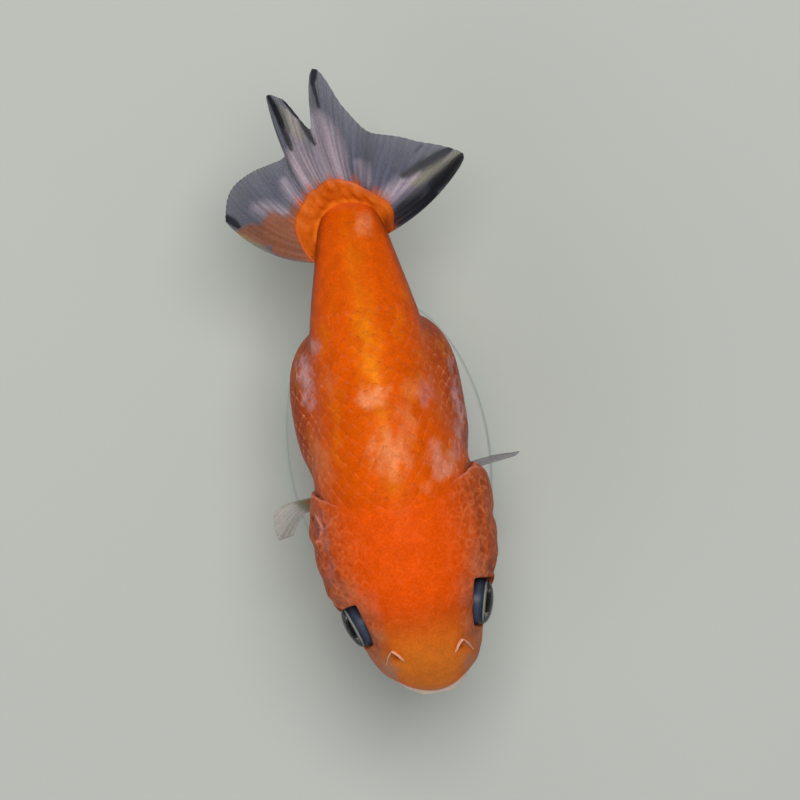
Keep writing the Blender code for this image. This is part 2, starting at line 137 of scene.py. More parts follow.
TAIL_BASE_MIDDLE, TAIL_BASE_HALF_WIDTH, TAIL_BASE_HALF_LENGTH = 88.0, 6.2, 6.4
TAIL_BASE_HEIGHT, TAIL_BASE_REACH, TAIL_ARCH = -2.4, 3.6, 1.2

# Paired fins: the root's front and rear ends, then the ray tips, on the fish's left unless named right.
SMALL_FINS = {
    "pectoral_fin_left": (
        (11.8, 39.8, -13.4), (10.8, 41.2, -16.4),
        ((24.3, 41.6, -9.6), (25.0, 42.0, -13.0), (22.4, 42.4, -17.6), (17.0, 42.6, -20.8)),
    ),
    "pectoral_fin_right": (
        (-11.8, 40.0, -13.0), (-11.4, 38.8, -16.0),
        ((-24.0, 38.2, -11.6), (-24.1, 35.8, -12.6), (-23.4, 33.2, -14.0), (-20.9, 33.4, -15.6)),
    ),
    "pelvic_fin_left": (
        (6.2, 49.0, -20.4), (3.6, 52.6, -21.6),
        ((14.0, 60.6, -25.0), (12.2, 63.0, -26.6), (8.8, 63.4, -27.6), (5.6, 61.0, -27.4)),
    ),
    "anal_fin_left": (
        (2.4, 72.6, -9.6), (2.0, 78.6, -6.2),
        ((5.6, 80.6, -16.8), (5.2, 83.6, -15.8), (4.4, 85.6, -13.6), (3.2, 85.6, -10.4)),
    ),
}
# Where each pectoral fin's first and last rays part, after running side by side from the body.
FIN_WRISTS = {
    "pectoral_fin_left": ((17.4, 40.6, -12.4), (16.0, 42.2, -15.4)),
    "pectoral_fin_right": ((-21.4, 40.1, -12.6), (-18.4, 37.7, -14.2)),
}
# Shares of white and of pale in a fin's web.
FIN_TONES = {"pectoral_fin_left": (0.15, 0.25), "pectoral_fin_right": (0.8, 0.6)}
OTHER_FIN_TONES = (0.0, 0.6)
RAYS_BETWEEN_STATIONS, SMALL_FIN_RAYS = 3, 11


def linear(hex_colour):
    """Linear red, green and blue of an sRGB hex colour."""
    values = (int(hex_colour[k : k + 2], 16) / 255 for k in (1, 3, 5))
    return tuple(v / 12.92 if v <= 0.04045 else ((v + 0.055) / 1.055) ** 2.4 for v in values)


def colour(name, default, words):
    """A colour that a user can change. default is its hex colour."""
    return bpy.props.FloatVectorProperty(
        name=name, description=words, default=linear(default), size=3, min=0, max=1, subtype="COLOR"
    )


def length(name, default, words):
    """A size that a user can change. default is in millimetres."""
    return bpy.props.FloatProperty(
        name=name, description=words, default=default * MM, min=0.0, unit="LENGTH", precision=5
    )


class GoldfishColours(bpy.types.PropertyGroup):
    back: colour("Back", "#DA5402", "Orange of the back and flanks")
    ridge: colour("Ridge", "#F08A0C", "Yellow orange stripe along the middle of the back")
    head: colour("Head", "#E65000", "Red orange of the crown")
    # Partly the cheeks' own brown, partly painted shade on the sides of the head.
    cheek: colour("Cheek", "#AC4A20", "Brownish orange of the cheeks and gill covers")
    snout: colour("Snout", "#E27C24", "Tan orange of the snout")
    lip: colour("Lip", "#E4CDBB", "Pale cream of the lips")
    net: colour("Net", "#DE7E50", "Pale pink skin between the lumps of the head growth")
    peach: colour("Peach", "#EC8C58", "Unpigmented patches on the back")
    lilac: colour("Lilac", "#B57C7C", "Silvery lilac patches on the flanks")
    belly: colour("Belly", "#DD8A3C", "Golden orange of the belly")
    # Painted shade: the lower sides darker where the light from above falls off.
    flank: colour("Flank", "#983A16", "Darker orange low on the sides")
    tan: colour("Tan", "#B28468", "Olive tan of the snout's sides")
    web: colour("Fin web", "#4F5261", "Slate grey of the fins' clear skin")
    ray: colour("Fin ray", "#7E7B92", "Paler lilac of the fin rays")
    root: colour("Fin root", "#D0BCC6", "Lilac white where a fin leaves the flesh")
    rust: colour("Fin rust", "#93552F", "Rusty flesh along the tail's right leading edge")
    olive: colour("Fin olive", "#98946A", "Olive cast of the pectoral fins' first ray")
    collar: colour("Collar", "#C4560E", "Fleshy orange where the tail fin starts")
    streak: colour("Fin streak", "#17171A", "Black left over from the young fish")
    eye_wall: colour("Eye wall", "#282C38", "Slate blue side of the eyeball")
    iris: colour("Iris", "#9A9B97", "Silvery ring of the iris")
    stand: colour("Stand", "#B2B6AF", "Powder coat of the stand's base")
    floor: colour("Floor", "#BCC0B8", "Studio floor")


class GoldfishSizes(bpy.types.PropertyGroup):
    scale_step: length("Scale step", 1.25, "Distance between rings of scales along the body")
    scale_lift: length("Scale lift", 0.085, "Rise of each scale from its root to its rear edge")
    scale_thickness: length("Scale thickness", 0.06, "Thickness of one scale")
    coat_depth: length("Coat depth", 0.34, "Depth of the skin under the outside of the scales")
    lump_size: length("Fold size", 1.9, "Distance between the raised folds of the head growth")
    lump_depth: length("Fold depth", 0.17, "Depth of the hollows between the folds on the cheeks")
    fin_web: length("Fin web", 0.18, "Thickness of a fin between its rays")
    fin_ray: length("Fin ray", 0.25, "Thickness of a fin at a ray")


def colours():
    """The colours that a user can change."""
    return bpy.context.scene.goldfish_colours


def millimetres(name):
    """One of the sizes that a user can change, in millimetres."""
    return getattr(bpy.context.scene.goldfish_sizes, name) / MM


# ---- shape of the body ----


def ease(low, high, value):
    """0 at low and 1 at high, with a smooth rise between them."""
    u = np.clip((np.asarray(value, float) - low) / (high - low), 0.0, 1.0)
    return u * u * (3 - 2 * u)


def bell(value, middle, half_width):
    """1 at the middle, with a smooth fall to 0 on both sides."""
    return np.exp(-(((value - middle) / half_width) ** 2))


def window(value, rise, top, fall, end):
    """0 up to rise, 1 from top to fall, and 0 again from end, with smooth slopes."""
    return ease(rise, top, value) * (1 - ease(fall, end, value))


def wave_noise(*coordinates):
    """Smooth irregular values round 0, from a few crossed waves."""
    total = np.zeros(np.broadcast(*coordinates).shape)
    rng = np.random.default_rng(SEED)
    for _ in range(NOISE_WAVES):
        pitch = rng.normal(size=len(coordinates)) * NOISE_PITCH
        phase = rng.uniform(0, 2 * math.pi)
        total += np.sin(sum(p * c for p, c in zip(pitch, coordinates)) + phase)
    return total / NOISE_WAVES**0.5


class Curve:
    """Smooth curve through stations that never overshoots them."""

    def __init__(self, at, values):
        self.at, self.values = np.array(at, float), np.array(values, float)
        slopes = np.diff(self.values) / np.diff(self.at)
        both = slopes[:-1] * slopes[1:]
        total = np.where(both > 0, slopes[:-1] + slopes[1:], 1.0)
        inner = np.where(both > 0, 2 * both / total, 0.0)
        self.tangents = np.concatenate([slopes[:1], inner, slopes[-1:]])

    def __call__(self, at):
        at = np.clip(at, self.at[0], self.at[-1])
        i = np.clip(np.searchsorted(self.at, at, side="right") - 1, 0, len(self.at) - 2)
        step = self.at[i + 1] - self.at[i]
        u = (at - self.at[i]) / step
        return (
            self.values[i] * (1 + 2 * u) * (1 - u) ** 2
            + self.values[i + 1] * u * u * (3 - 2 * u)
            + step * self.tangents[i] * u * (1 - u) ** 2
            - step * self.tangents[i + 1] * u * u * (1 - u)
        )


def column_curves(table):
    """A curve for each further column of a table, over its first."""
    columns = list(zip(*table))
    return [Curve(columns[0], column) for column in columns[1:]]


HALF_WIDTH, TOP, BOTTOM = column_curves(TUBE)
(SPINE_ACROSS,) = column_curves(SPINE)
RAY_CURVES = column_curves([(k, *ray) for k, ray in enumerate(TAIL_RAYS)])


def place(points):
    """Points of the fish's frame, given as across, along, height in millimetres, in metres."""
    return (np.asarray(points, float) + (0.0, -STAND_ALONG, AXIS_HEIGHT)) * MM


def sac_radius(along, centre, s, c):
    """Radius of the belly sac from the tube's centre, for a direction's sine and cosine."""
    reach = np.clip(np.abs((along - SAC_MIDDLE) / SAC_HALF_LENGTH), 0, 0.9999)
    share = (1 - reach**SAC_BLUNTNESS) ** (1 / SAC_BLUNTNESS)
    wide, deep = SAC_HALF_WIDTH * share, SAC_HALF_DEPTH * share
    offset = centre - SAC_HEIGHT
    a = (s / wide) ** 2 + (c / deep) ** 2
    b = offset * c / deep**2
    inside = b * b + a * (1 - (offset / deep) ** 2)
    return np.where(inside > 0, (np.sqrt(np.maximum(inside, 0)) - b) / a, 0.0)


def gill_lean(along, turn):
    """How far the gill cover's rear edge swings forward: less above, and least on the fish's left."""
    side = np.abs(turn)
    away = GILL_LEAN * ((side - GILL_LOWEST_TURN) / 50) ** 2
    less = (0.38 + 0.12 * np.sign(turn)) * ease(8, 40, side) * ease(GILL_LOWEST_TURN, 80, side)
    most = GILL_MOST_LEAN * np.tanh(away * (1 - less) / GILL_MOST_LEAN)
    return -most * bell(along, GILL_EDGE, GILL_REACH)


def gill_side(turn):
    """1 on the flanks, where the gill cover stands proud, and 0 on the back and the throat."""
    return window(np.abs(turn), 22, 60, 125, 165)


def flap_side(turn):
    """1 where the gill cover's rear edge stands free, fading out above and below."""
    return window(np.abs(turn), 27, 54, 125, 165)


def left_flank(turn):
    """1 on the fish's left, where the gill cover stands wide open."""
    return window(turn, 45, 75, 118, 150)


def body(along, turn, grow=0.0, cover=1.0):
    """Points of the body's surface. cover is 0 for what lies under the gill covers."""
    along, turn, grow, cover = np.broadcast_arrays(along, turn, grow, cover)
    half, top, bottom = HALF_WIDTH(along), TOP(along), BOTTOM(along)
    centre, tall = (top + bottom) / 2, (top - bottom) / 2
    s, c = np.sin(np.radians(turn)), np.cos(np.radians(turn))
    # A rounded tube with the belly sac blended into it, and the gill covers standing proud of it.
    n = TUBE_ROUNDNESS
    tube = ((np.abs(s) / half) ** n + (np.abs(c) / tall) ** n) ** (-1 / n)
    sac = sac_radius(along, centre, s, c)
    h = np.clip(0.5 + 0.5 * (sac - tube) / SAC_BLEND, 0.0, 1.0)
    radius = tube + (sac - tube) * h + SAC_BLEND * h * (1 - h) * 0.5
    tuck = 1 - GILL_TUCK * ease(33, GILL_EDGE, along)
    proud = GILL_BULGE * gill_side(turn) * ease(15, 29, along) * tuck
    radius = radius + proud * cover + grow
    across, height = radius * s + SPINE_ACROSS(along), centre + radius * c
    return np.stack([across, along + gill_lean(along, turn), height], -1)


class Girth:
    """Turns distances round the body into turns in degrees, so that scales stay even."""

    FIRST, LAST, STEP, PARTS = 38.0, 97.0, 0.5, 400

    def __init__(self):
        self.along = np.arange(self.FIRST, self.LAST + 0.01, self.STEP)
        turn = np.linspace(-180, 180, 361)
        ring = body(self.along[:, None], turn[None, :], cover=0.0)
        step = np.linalg.norm(np.diff(ring, axis=1), axis=-1)
        run = np.concatenate([np.zeros((len(step), 1)), np.cumsum(step, axis=1)], axis=1)
        self.total = run[:, -1]
        share = run / self.total[:, None] - (run[:, 180] / self.total)[:, None]
        shares = np.linspace(-0.5, 0.5, self.PARTS + 1)
        self.turns = np.stack([np.interp(shares, row, turn) for row in share])

    def length(self, along):
        """Millimetres round the body."""
        return np.interp(along, self.along, self.total)

    def turn(self, along, share):
        """Turn at a share of the way round, from 0 on the back."""
        share = (share + 0.5) % 1.0 - 0.5
        i = np.clip((along - self.along[0]) / self.STEP, 0, len(self.along) - 1.001)
        j = np.clip((share + 0.5) * self.PARTS, 0, self.PARTS - 0.001)
        i0, j0 = i.astype(int), j.astype(int)
        u, v = i - i0, j - j0
        low = self.turns[i0, j0] * (1 - v) + self.turns[i0, j0 + 1] * v
        high = self.turns[i0 + 1, j0] * (1 - v) + self.turns[i0 + 1, j0 + 1] * v
        return low * (1 - u) + high * u


# ---- meshes ----


def grid_quads(rows, columns, closed=False):
    """Quads of a grid stored row by row, with each corner's row and its column before wrapping."""
    i, j = np.meshgrid(np.arange(rows - 1), np.arange(columns - (not closed)), indexing="ij")
    i = np.stack([i, i, i + 1, i + 1], -1).reshape(-1, 4)
    j = np.stack([j, j + 1, j + 1, j], -1).reshape(-1, 4)
    return i * columns + j % columns, i, j


def two_sided(rows, columns):
    """Quads of a closed sheet, as top, underside and rim. The underside's points come after the top's."""
    top = grid_quads(rows, columns)[0]
    flat = rows * columns
    number = np.arange(flat).reshape(rows, columns)
    rim = np.concatenate([number[0], number[1:, -1], number[-1, -2::-1], number[-2:0:-1, 0]])
    after = np.roll(rim, -1)
    return top[:, ::-1], top + flat, np.stack([rim, after, after + flat, rim + flat], -1)


class Shell:
    """Collects points, faces, UVs and named values of one mesh."""

    def __init__(self):
        self.points, self.faces, self.uvs, self.values, self.count = [], [], [], {}, 0

    def add(self, points, faces, uvs, values):
        """faces is a list of arrays of point numbers, and uvs has an array of corner places for each."""
        points = np.asarray(points, float).reshape(-1, 3)
        for group, places in zip(faces, uvs):
            self.faces.extend((np.asarray(group) + self.count).tolist())
            self.uvs.append(np.asarray(places, float).reshape(-1, 2))
        for name in set(self.values) | set(values):
            kept = self.values.setdefault(name, [np.zeros(self.count)])
            kept.append(np.broadcast_to(np.asarray(values.get(name, 0.0), float).ravel(), len(points)))
        self.points.append(points)
        self.count += len(points)

    def build(self, name, outward=True):
        """Makes the object. With outward its faces are turned to look out, else they stay as added."""
        mesh = bpy.data.meshes.new(name)
        mesh.from_pydata(place(np.concatenate(self.points)), [], self.faces)
        layer = mesh.uv_layers.new(name="OFBake")
        layer.data.foreach_set("uv", np.concatenate(self.uvs).astype(np.float32).ravel())
        for key, parts in self.values.items():
            attribute = mesh.attributes.new(key, "FLOAT", "POINT")
            attribute.data.foreach_set("value", np.concatenate(parts).astype(np.float32))
        mesh.shade_smooth()
        mesh.update()
        if outward:
            bm = bmesh.new()
            bm.from_mesh(mesh)
            bmesh.ops.recalc_face_normals(bm, faces=bm.faces)
            bm.to_mesh(mesh)
            bm.free()
        obj = bpy.data.objects.new(name, mesh)
        bpy.context.scene.collection.objects.link(obj)
        return obj


def sheet_solid(shell, middle, half_thickness, values, uv_low=(0.01, 0.01), uv_high=(0.99, 0.99)):
    """Adds a closed sheet. middle is a grid of points, and the rest spreads over its rows and columns."""
    rows, columns = middle.shape[:2]
    normal = np.cross(np.gradient(middle, axis=1), np.gradient(middle, axis=0))
    normal /= np.maximum(np.linalg.norm(normal, axis=-1, keepdims=True), 1e-9)
    shift = normal * np.broadcast_to(half_thickness, (rows, columns))[..., None]
    points = np.concatenate([(middle + shift).reshape(-1, 3), (middle - shift).reshape(-1, 3)])
    flat = rows * columns
    i, j = np.divmod(np.arange(flat), columns)
    wide, tall = uv_high[0] - uv_low[0], uv_high[1] - uv_low[1]
    spot = np.stack([uv_low[0] + wide * j / (columns - 1), uv_low[1] + tall * 0.48 * i / (rows - 1)], -1)
    top, under, rim = two_sided(rows, columns)
    uvs = [spot[top], spot[under - flat] + (0, tall * 0.52), spot[rim % flat]]
    doubled = {}
    for key, value in values.items():
        doubled[key] = np.tile(np.broadcast_to(value, (rows, columns)).ravel(), 2)
    shell.add(points, [top, under, rim], uvs, doubled)


def finish_piece(obj, material, slot, *nodes):
    """Gives a piece its material and body, and hides the nodes that it stands for. slot is not used."""
    obj.data.materials.append(material)
    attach(obj, "root")
    if nodes:
        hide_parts(*nodes)
    return obj


# ---- markings and painted shade on the sides, shared by skin and scales ----

# Patches with little pigment: along, across, half length, half width, strength.
PEACH_PATCHES = (
    (57.1, -0.9, 1.5, 2.8, 0.95),
    (46.5, 1.1, 3.2, 3.4, 0.85),
    (42.9, 0.5, 1.4, 1.5, 0.4),
    (51.6, 5.0, 3.4, 1.8, 0.45),
    (57.7, 7.6, 1.8, 2.4, 0.35),
    (46.5, -12.4, 3.6, 1.5, 0.4),
    (61.0, -8.0, 2.6, 1.3, 0.3),
    (43.2, 9.4, 2.8, 1.9, 0.75),
    (41.3, 9.0, 1.4, 1.6, 0.7),
    (38.8, 5.4, 1.2, 1.0, 0.35),
    (89.6, 3.0, 2.6, 1.4, 0.75),
)
LILAC_PATCHES = (
    (43.4, 9.2, 2.8, 1.9, 0.25),
    (41.5, 9.0, 1.4, 1.6, 0.25),
    (35.7, -15.0, 2.6, 1.0, 0.6),
    (31.6, -14.6, 1.6, 0.8, 0.5),
    (26.0, -14.4, 2.2, 0.9, 0.4),
    (56.3, 9.2, 1.6, 1.6, 0.35),
    (62.8, -12.6, 3.9, 1.2, 0.9),
    (57.6, -12.2, 1.6, 0.8, 0.5),
    (68.3, -10.0, 1.8, 0.9, 0.5),
    (57.0, 15.4, 1.9, 1.0, 0.4),
    (52.6, 15.4, 4.6, 0.9, 0.9),
    (47.8, 13.9, 2.2, 0.7, 0.7),
    (44.6, 12.8, 1.8, 0.7, 0.6),
    (60.6, 15.2, 1.8, 0.6, 0.6),
)
# Olive tan patches on the sides of the snout, where little pigment covers the flesh.
TAN_PATCHES = (
    (10.4, 9.6, 3.2, 2.0, 0.4),
    (10.6, -9.4, 3.2, 2.0, 0.4),
    (13.2, -8.8, 2.0, 2.2, 0.5),
    (12.8, 9.2, 2.0, 1.8, 0.3),
    (18.2, -9.6, 3.6, 2.6, 0.3),
    (21.6, -12.4, 3.0, 2.2, 0.3),
    (18.6, 9.8, 3.2, 2.0, 0.25),
    (22.6, 12.4, 4.0, 1.7, 0.3),
    (6.2, -7.8, 2.6, 1.6, 0.9),
    (4.8, 7.8, 2.4, 2.0, 0.6),
)


def patches(table, along, across, warp):
    """Strength of the strongest of several round patches with ragged edges."""
    total = np.zeros(np.broadcast(along, across).shape)
    for middle, side, half_length, half_width, strength in table:
        away = np.hypot((along - middle) / half_length, (across - side) / half_width) + warp
        total = np.maximum(total, strength * (1 - ease(0.25, 1.6, away)))
    return total


def strokes(table, across, along, warp, soft=0.35):
    """Strength of the strongest of several lines that narrow to their ends, with ragged edges."""
    total = np.zeros(np.broadcast(across, along).shape)
    for (x0, y0), (x1, y1), half, strength in table:
        run = np.array([x1 - x0, y1 - y0])
        share = np.clip(((across - x0) * run[0] + (along - y0) * run[1]) / (run @ run), 0, 1)
        away = np.hypot(across - x0 - share * run[0], along - y0 - share * run[1])
        width = half * (0.3 + 0.7 * np.sin(math.pi * (0.08 + 0.84 * share)) ** 0.6)
        total = np.maximum(total, strength * (1 - ease(1 - soft, 1 + soft, away / width + warp)))
    return total


def markings(along, turn, points):
    """Shares of each marking, and of the painted shade on the sides, at points of the body, from 0 to 1."""
    across, at, height = points[..., 0], points[..., 1], points[..., 2]
    from_middle = across - SPINE_ACROSS(at)
    upper = ease(-4, 4, height)
    warp = 0.34 * wave_noise(at * 1.2, across * 1.2)
    streak = 0.4 + 0.6 * bell(at, 66, 8)
    ridge = bell(from_middle, 0, 2.0) * ease(31, 44, at) * (1 - 0.5 * ease(84, 93, at)) * upper
    golden = 0.22 * ease(0.3, 1.4, wave_noise(at * 0.45, across * 0.7)) * window(at, 40, 46, 70, 84)
    stalk_end = 0.5 * bell(along, 93.6, 0.6)
    head = 1 - ease(38.5, 45.5, along + 0.8 * warp)
    side = ease(22, 62, np.abs(turn))
    return {
        "ridge": np.maximum(ridge * streak * (0.8 + 0.3 * wave_noise(at * 0.7, across)), golden),
        "head": head * (1 - side),
        # Cheek colour: partly the cheeks' own brown, partly painted shade reaching in from the sides of the
        # head.
        "cheek": head * side * ease(2, 8, along),
        "snout": (1 - ease(7, 19, along)) * (1 - 0.7 * side),
        "peach": np.maximum(patches(PEACH_PATCHES, at, from_middle, warp), stalk_end) * upper,
        "lilac": patches(LILAC_PATCHES, at, from_middle, warp) * ease(-5, 0, height),
        "tan": patches(TAN_PATCHES, at, from_middle, 0.5 * warp) * ease(0, 5, height),
        "belly": ease(112, 150, np.abs(turn)) * ease(30, 44, along),
        # Painted shade low on the sides of the trunk.
        "flank": ease(46, 84, np.abs(turn)) * ease(40, 46, along),
    }


# ---- skin ----

HEAD_ROWS, EDGE_ROWS, TRUNK_ROWS, MOUTH_ROWS, COLUMNS = 178, 5, 40, 14, 388
LUMP_STRETCH = 0.62                     # length over height of a hollow between folds
LUMP_TRIES, LUMP_GAP = 9000, 0.7        # random places tried, and least distance over spacing
FLAP_COLUMNS, FLAP_ROWS = 33, 7
COLLAR_COLUMNS, COLLAR_ROWS = 200, 17
SOCKET_GAP, BROW_LEVEL = 1.3, 0.7
# The unwrap: the body's length lies between two levels, with the mouth below them and the flaps above.
UV_START, UV_TOP, UV_LENGTH, MOUTH_LENGTH = 0.06, 0.8, 96.0, 6.0

# Raised folds and pits of the head, as strokes: both ends as across, along, then half width and strength.
# The crests are painted lighter, partly pale pink skin and partly painted highlight; the pits darker, partly
# mauve skin and partly painted shade.
HEAD_CRESTS = (
    ((-15.1, 36.9), (-14.7, 35.6), 0.26, 0.8),
    ((-14.7, 35.6), (-14.3, 34.4), 0.24, 0.9),
    ((-14.3, 34.4), (-13.5, 34.7), 0.24, 0.6),
    ((-14.4, 34.3), (-15.0, 33.2), 0.2, 0.5),
    ((-16.1, 31.9), (-15.7, 32.5), 0.22, 0.9),
    ((-15.7, 32.5), (-15.1, 32.4), 0.22, 0.7),
    ((-11.8, 36.3), (-13.4, 34.6), 0.3, 0.3),
    ((-15.8, 40.6), (-14.8, 41.2), 0.25, 0.8),
)
HEAD_PITS = (
    ((-15.7, 36.5), (-15.8, 35.2), 0.6, 1.0),
    ((-15.5, 34.4), (-15.7, 33.1), 0.6, 1.0),
    ((-14.2, 35.5), (-14.1, 34.7), 0.32, 0.8),
    ((15.4, 22.8), (15.8, 20.6), 0.7, 0.8),
    ((-9.4, 13.4), (-8.0, 11.4), 0.9, 0.5),
)


def skin_uv(along, share_round):
    """Place on the unwrapped skin, for a share of the way round the body."""
    return np.stack([0.01 + 0.98 * share_round, UV_START + (UV_TOP - UV_START) * along / UV_LENGTH], -1)


def eye_matrix(side):
    """Place of an eye: z looks out of it."""
    bend = math.atan((SPINE_ACROSS(20.0) - SPINE_ACROSS(10.0)) / 10)
    turned = Matrix.Rotation(-side * math.radians(EYE_TURN) - bend, 4, "Z")
    turned @= Matrix.Rotation(side * math.radians(90 - EYE_LIFT), 4, "Y")
    aside, back = EYE_SHIFTS[side]
    centre = (side * EYE_ACROSS + float(SPINE_ACROSS(EYE_ALONG)) + aside, EYE_ALONG + back, EYE_HEIGHT)
    return Matrix.Translation(centre) @ turned


def sink_sockets(points):
    """Draws the skin in round each eye, so that the eyeball's wall shows, and gives the share of painted
    shade in the gap round each eye.
    """
    socket_shade = np.zeros(points.shape[:-1])
    for side in (1, -1):
        eye = np.array(eye_matrix(side))
        local = (points - eye[:3, 3]) @ eye[:3, :3]
        radial, out = np.hypot(local[..., 0], local[..., 1]), local[..., 2]
        up, rearward = -side * local[..., 0], local[..., 1]
        facing = (out > -EYE_RADIUS) & (radial < EYE_RADIUS + 6)
        # Inside the eye's outline the skin lies well under the eyeball's surface.
        ball = EYE_RADIUS * EYE_FLATNESS * np.sqrt(np.clip(1 - (radial / EYE_RADIUS) ** 2, 0, 1))
        excess = np.maximum(out - (ball - SOCKET_GAP), 0) * ease(EYE_RADIUS + 0.35, EYE_RADIUS, radial)
        # Above the eye it is pared down to a level, so that the eyeball's wall shows from above.
        over = out - (BROW_LEVEL - 0.09 * rearward)
        fore_aft = np.abs(rearward + EYE_REAR_COVER[side]) + EYE_REAR_COVER[side]
        trough = ease(EYE_RADIUS + 0.3, EYE_RADIUS - 0.1, fore_aft) * ease(-1.5, 1.0, up)
        trough = trough * (1 - ease(EYE_RADIUS + 2.0, EYE_RADIUS + 5.5, up))
        excess = np.maximum(excess, 0.5 * (over + np.sqrt(over**2 + 0.12)) * trough)
        # A low lid with a furrow outside it runs round the rest.
        lid = 0.2 * bell(radial, EYE_RADIUS + 0.75, 0.4) - 0.16 * bell(radial, EYE_RADIUS + 1.9, 0.4)
        local[..., 2] += lid * (1 - trough) - excess
        moved = local @ eye[:3, :3].T + eye[:3, 3]
        points = np.where(facing[..., None], moved, points)
        # Painted shade in the gap between skin and eyeball, deepest at the rear.
        dark = ease(EYE_RADIUS + 0.5, EYE_RADIUS + 0.15, radial) * (0.35 + 0.65 * ease(0, 3, rearward))
        socket_shade = np.maximum(socket_shade, dark * facing)
    return points, socket_shade


def noise_at(points, pitch, shift=0.0):
    """wave_noise at points, along their last axis."""
    return wave_noise(*np.moveaxis(points * pitch + shift, -1, 0))


def lump_cells(points, spacing):
    """How far each point is inside its cell of an irregular net, in millimetres from the net's lines."""
    rng = np.random.default_rng(SEED)
    x, y, z = (points * 0.9).T
    warp = [wave_noise(x + shift, y, z) for shift in (0.0, 9.0, 18.0)]
    points = points + 0.4 * spacing * np.stack(warp, -1)
    chosen = points[rng.permutation(len(points))[:LUMP_TRIES]]
    kept, taken = [], {}
    for point in chosen:
        a, b, c = (point // spacing).astype(int)
        near = (taken.get((a + i, b + j, c + k), ()) for i, j, k in product((-1, 0, 1), repeat=3))
        if all(np.sum((point - other) ** 2) > (LUMP_GAP * spacing) ** 2 for cell in near for other in cell):
            taken.setdefault((a, b, c), []).append(point)
            kept.append(point)
    tree = KDTree(len(kept))
    for k, point in enumerate(kept):
        tree.insert(point, k)
    tree.balance()
    inside = np.empty(len(points))
    for k, point in enumerate(points):
        (_, _, first), (_, _, second) = tree.find_n(point, 2)
        inside[k] = (second - first) / 2
    return inside


def head_growth(along, turn):
    """Strength of the lumps: least on the snout and crown, most on cheeks and gill covers."""
    side = window(np.abs(turn), 14, 50, 140, 168)
    return ease(5, 18, along) * (0.1 + 0.9 * side) * (1 - ease(40.0, 42.0, along) * (1 - flap_side(turn)))


def gill_frill(turn):
    """How far the gill cover's rear edge waves to the rear, and drops forward beside the fin."""
    wave = 0.12 * wave_noise(turn * 0.16) + 0.2 * wave_noise(turn * 0.5 + 7)
    return (wave - 0.8 * bell(turn, -92, 22)) * flap_side(turn)


def head_grooves(along, turn):
    """Depths of the folds that part the crown, the cheeks and the gill covers."""
    side = np.abs(turn)
    crown = 0.3 * bell(side - 0.35 * (along - 30), 50, 3.4) * window(along, 20, 23, 38, 41)
    from_eye = np.hypot(along - EYE_ALONG, (side - 64) * 0.24)
    under_eye = 0.42 * bell(from_eye, 8.0, 0.6) * ease(72, 92, side) * ease(5, 9, along)
    cheek = 0.2 * bell(along + 0.0022 * (side - 85) ** 2, 31.5, 1.0) * ease(48, 62, side)
    return np.maximum.reduce([crown, under_eye, cheek]) * (1 - ease(140, 165, side))


def skin_rows(turn):
    """Along, growth and cover for every row of the skin, each as rows by columns."""
    coat = millimetres("coat_depth")
    step = flap_side(turn)
    frill = gill_frill(turn)
    nape = 0.5 * wave_noise(turn * 0.09) * (1 - step)
    # Head and gill covers, up to the covers' rear edge, which curls in.
    head_along = np.linspace(0, 1, HEAD_ROWS)[:, None] * (GILL_EDGE + frill)
    lip = np.clip((head_along - (GILL_EDGE - 0.9)) / 0.9, 0, 1) ** 2
    to_coat = ease(GILL_EDGE - 3.2, GILL_EDGE, head_along + nape) * (1 - step)
    puckers = 0.12 * wave_noise(turn * 0.55 + 3)
    drop = (0.4 - puckers) * lip + 0.3 * ease(GILL_EDGE - 3, GILL_EDGE, head_along)
    head_grow = -0.03 - drop * step - (coat - 0.1) * to_coat
    # A few rows that turn in under that edge, down to the trunk's skin.
    k = np.arange(1, EDGE_ROWS + 1)[:, None] / EDGE_ROWS
    edge_along = GILL_EDGE + frill - step * (0.9 - 0.6 * left_flank(turn)) * k + (1 - step) * 0.25 * k
    proud = GILL_BULGE * step * (1 - GILL_TUCK)
    edge_grow = (puckers - 0.73) * step - (proud * 0.9 - 0.4) * ease(0, 1, k) * step
    edge_grow = edge_grow - (coat - 0.07) * (1 - step) - (coat * step) * k**2
    # Trunk and tail stalk, under the coat of scales.
    start = edge_along[-1:]
    j = np.arange(1, TRUNK_ROWS + 1)[:, None] / TRUNK_ROWS
    trunk_along = start + (BODY_LENGTH - start) * j
    trunk_grow = -coat * (1 - 0.8 * ease(89, 93, trunk_along))
    along = np.concatenate([head_along, edge_along, trunk_along])
    grow = np.concatenate([head_grow, edge_grow, trunk_grow])
    cover = np.concatenate([1 + 0 * head_along, 1 - ease(0, 1, k) + 0 * turn, 0 * trunk_along])
    return along, grow, cover


def front_rows(ring):
    """Rows that close the rounded front of the snout, from the centre outwards."""
    middle = ring.mean(axis=0)
    share = ((np.arange(MOUTH_ROWS) + 0.5) / MOUTH_ROWS)[:, None, None]
    rows = middle + (ring - middle) * share
    rows[..., 1] = ring[:, 1] * share[..., 0] ** 2.5
    return rows


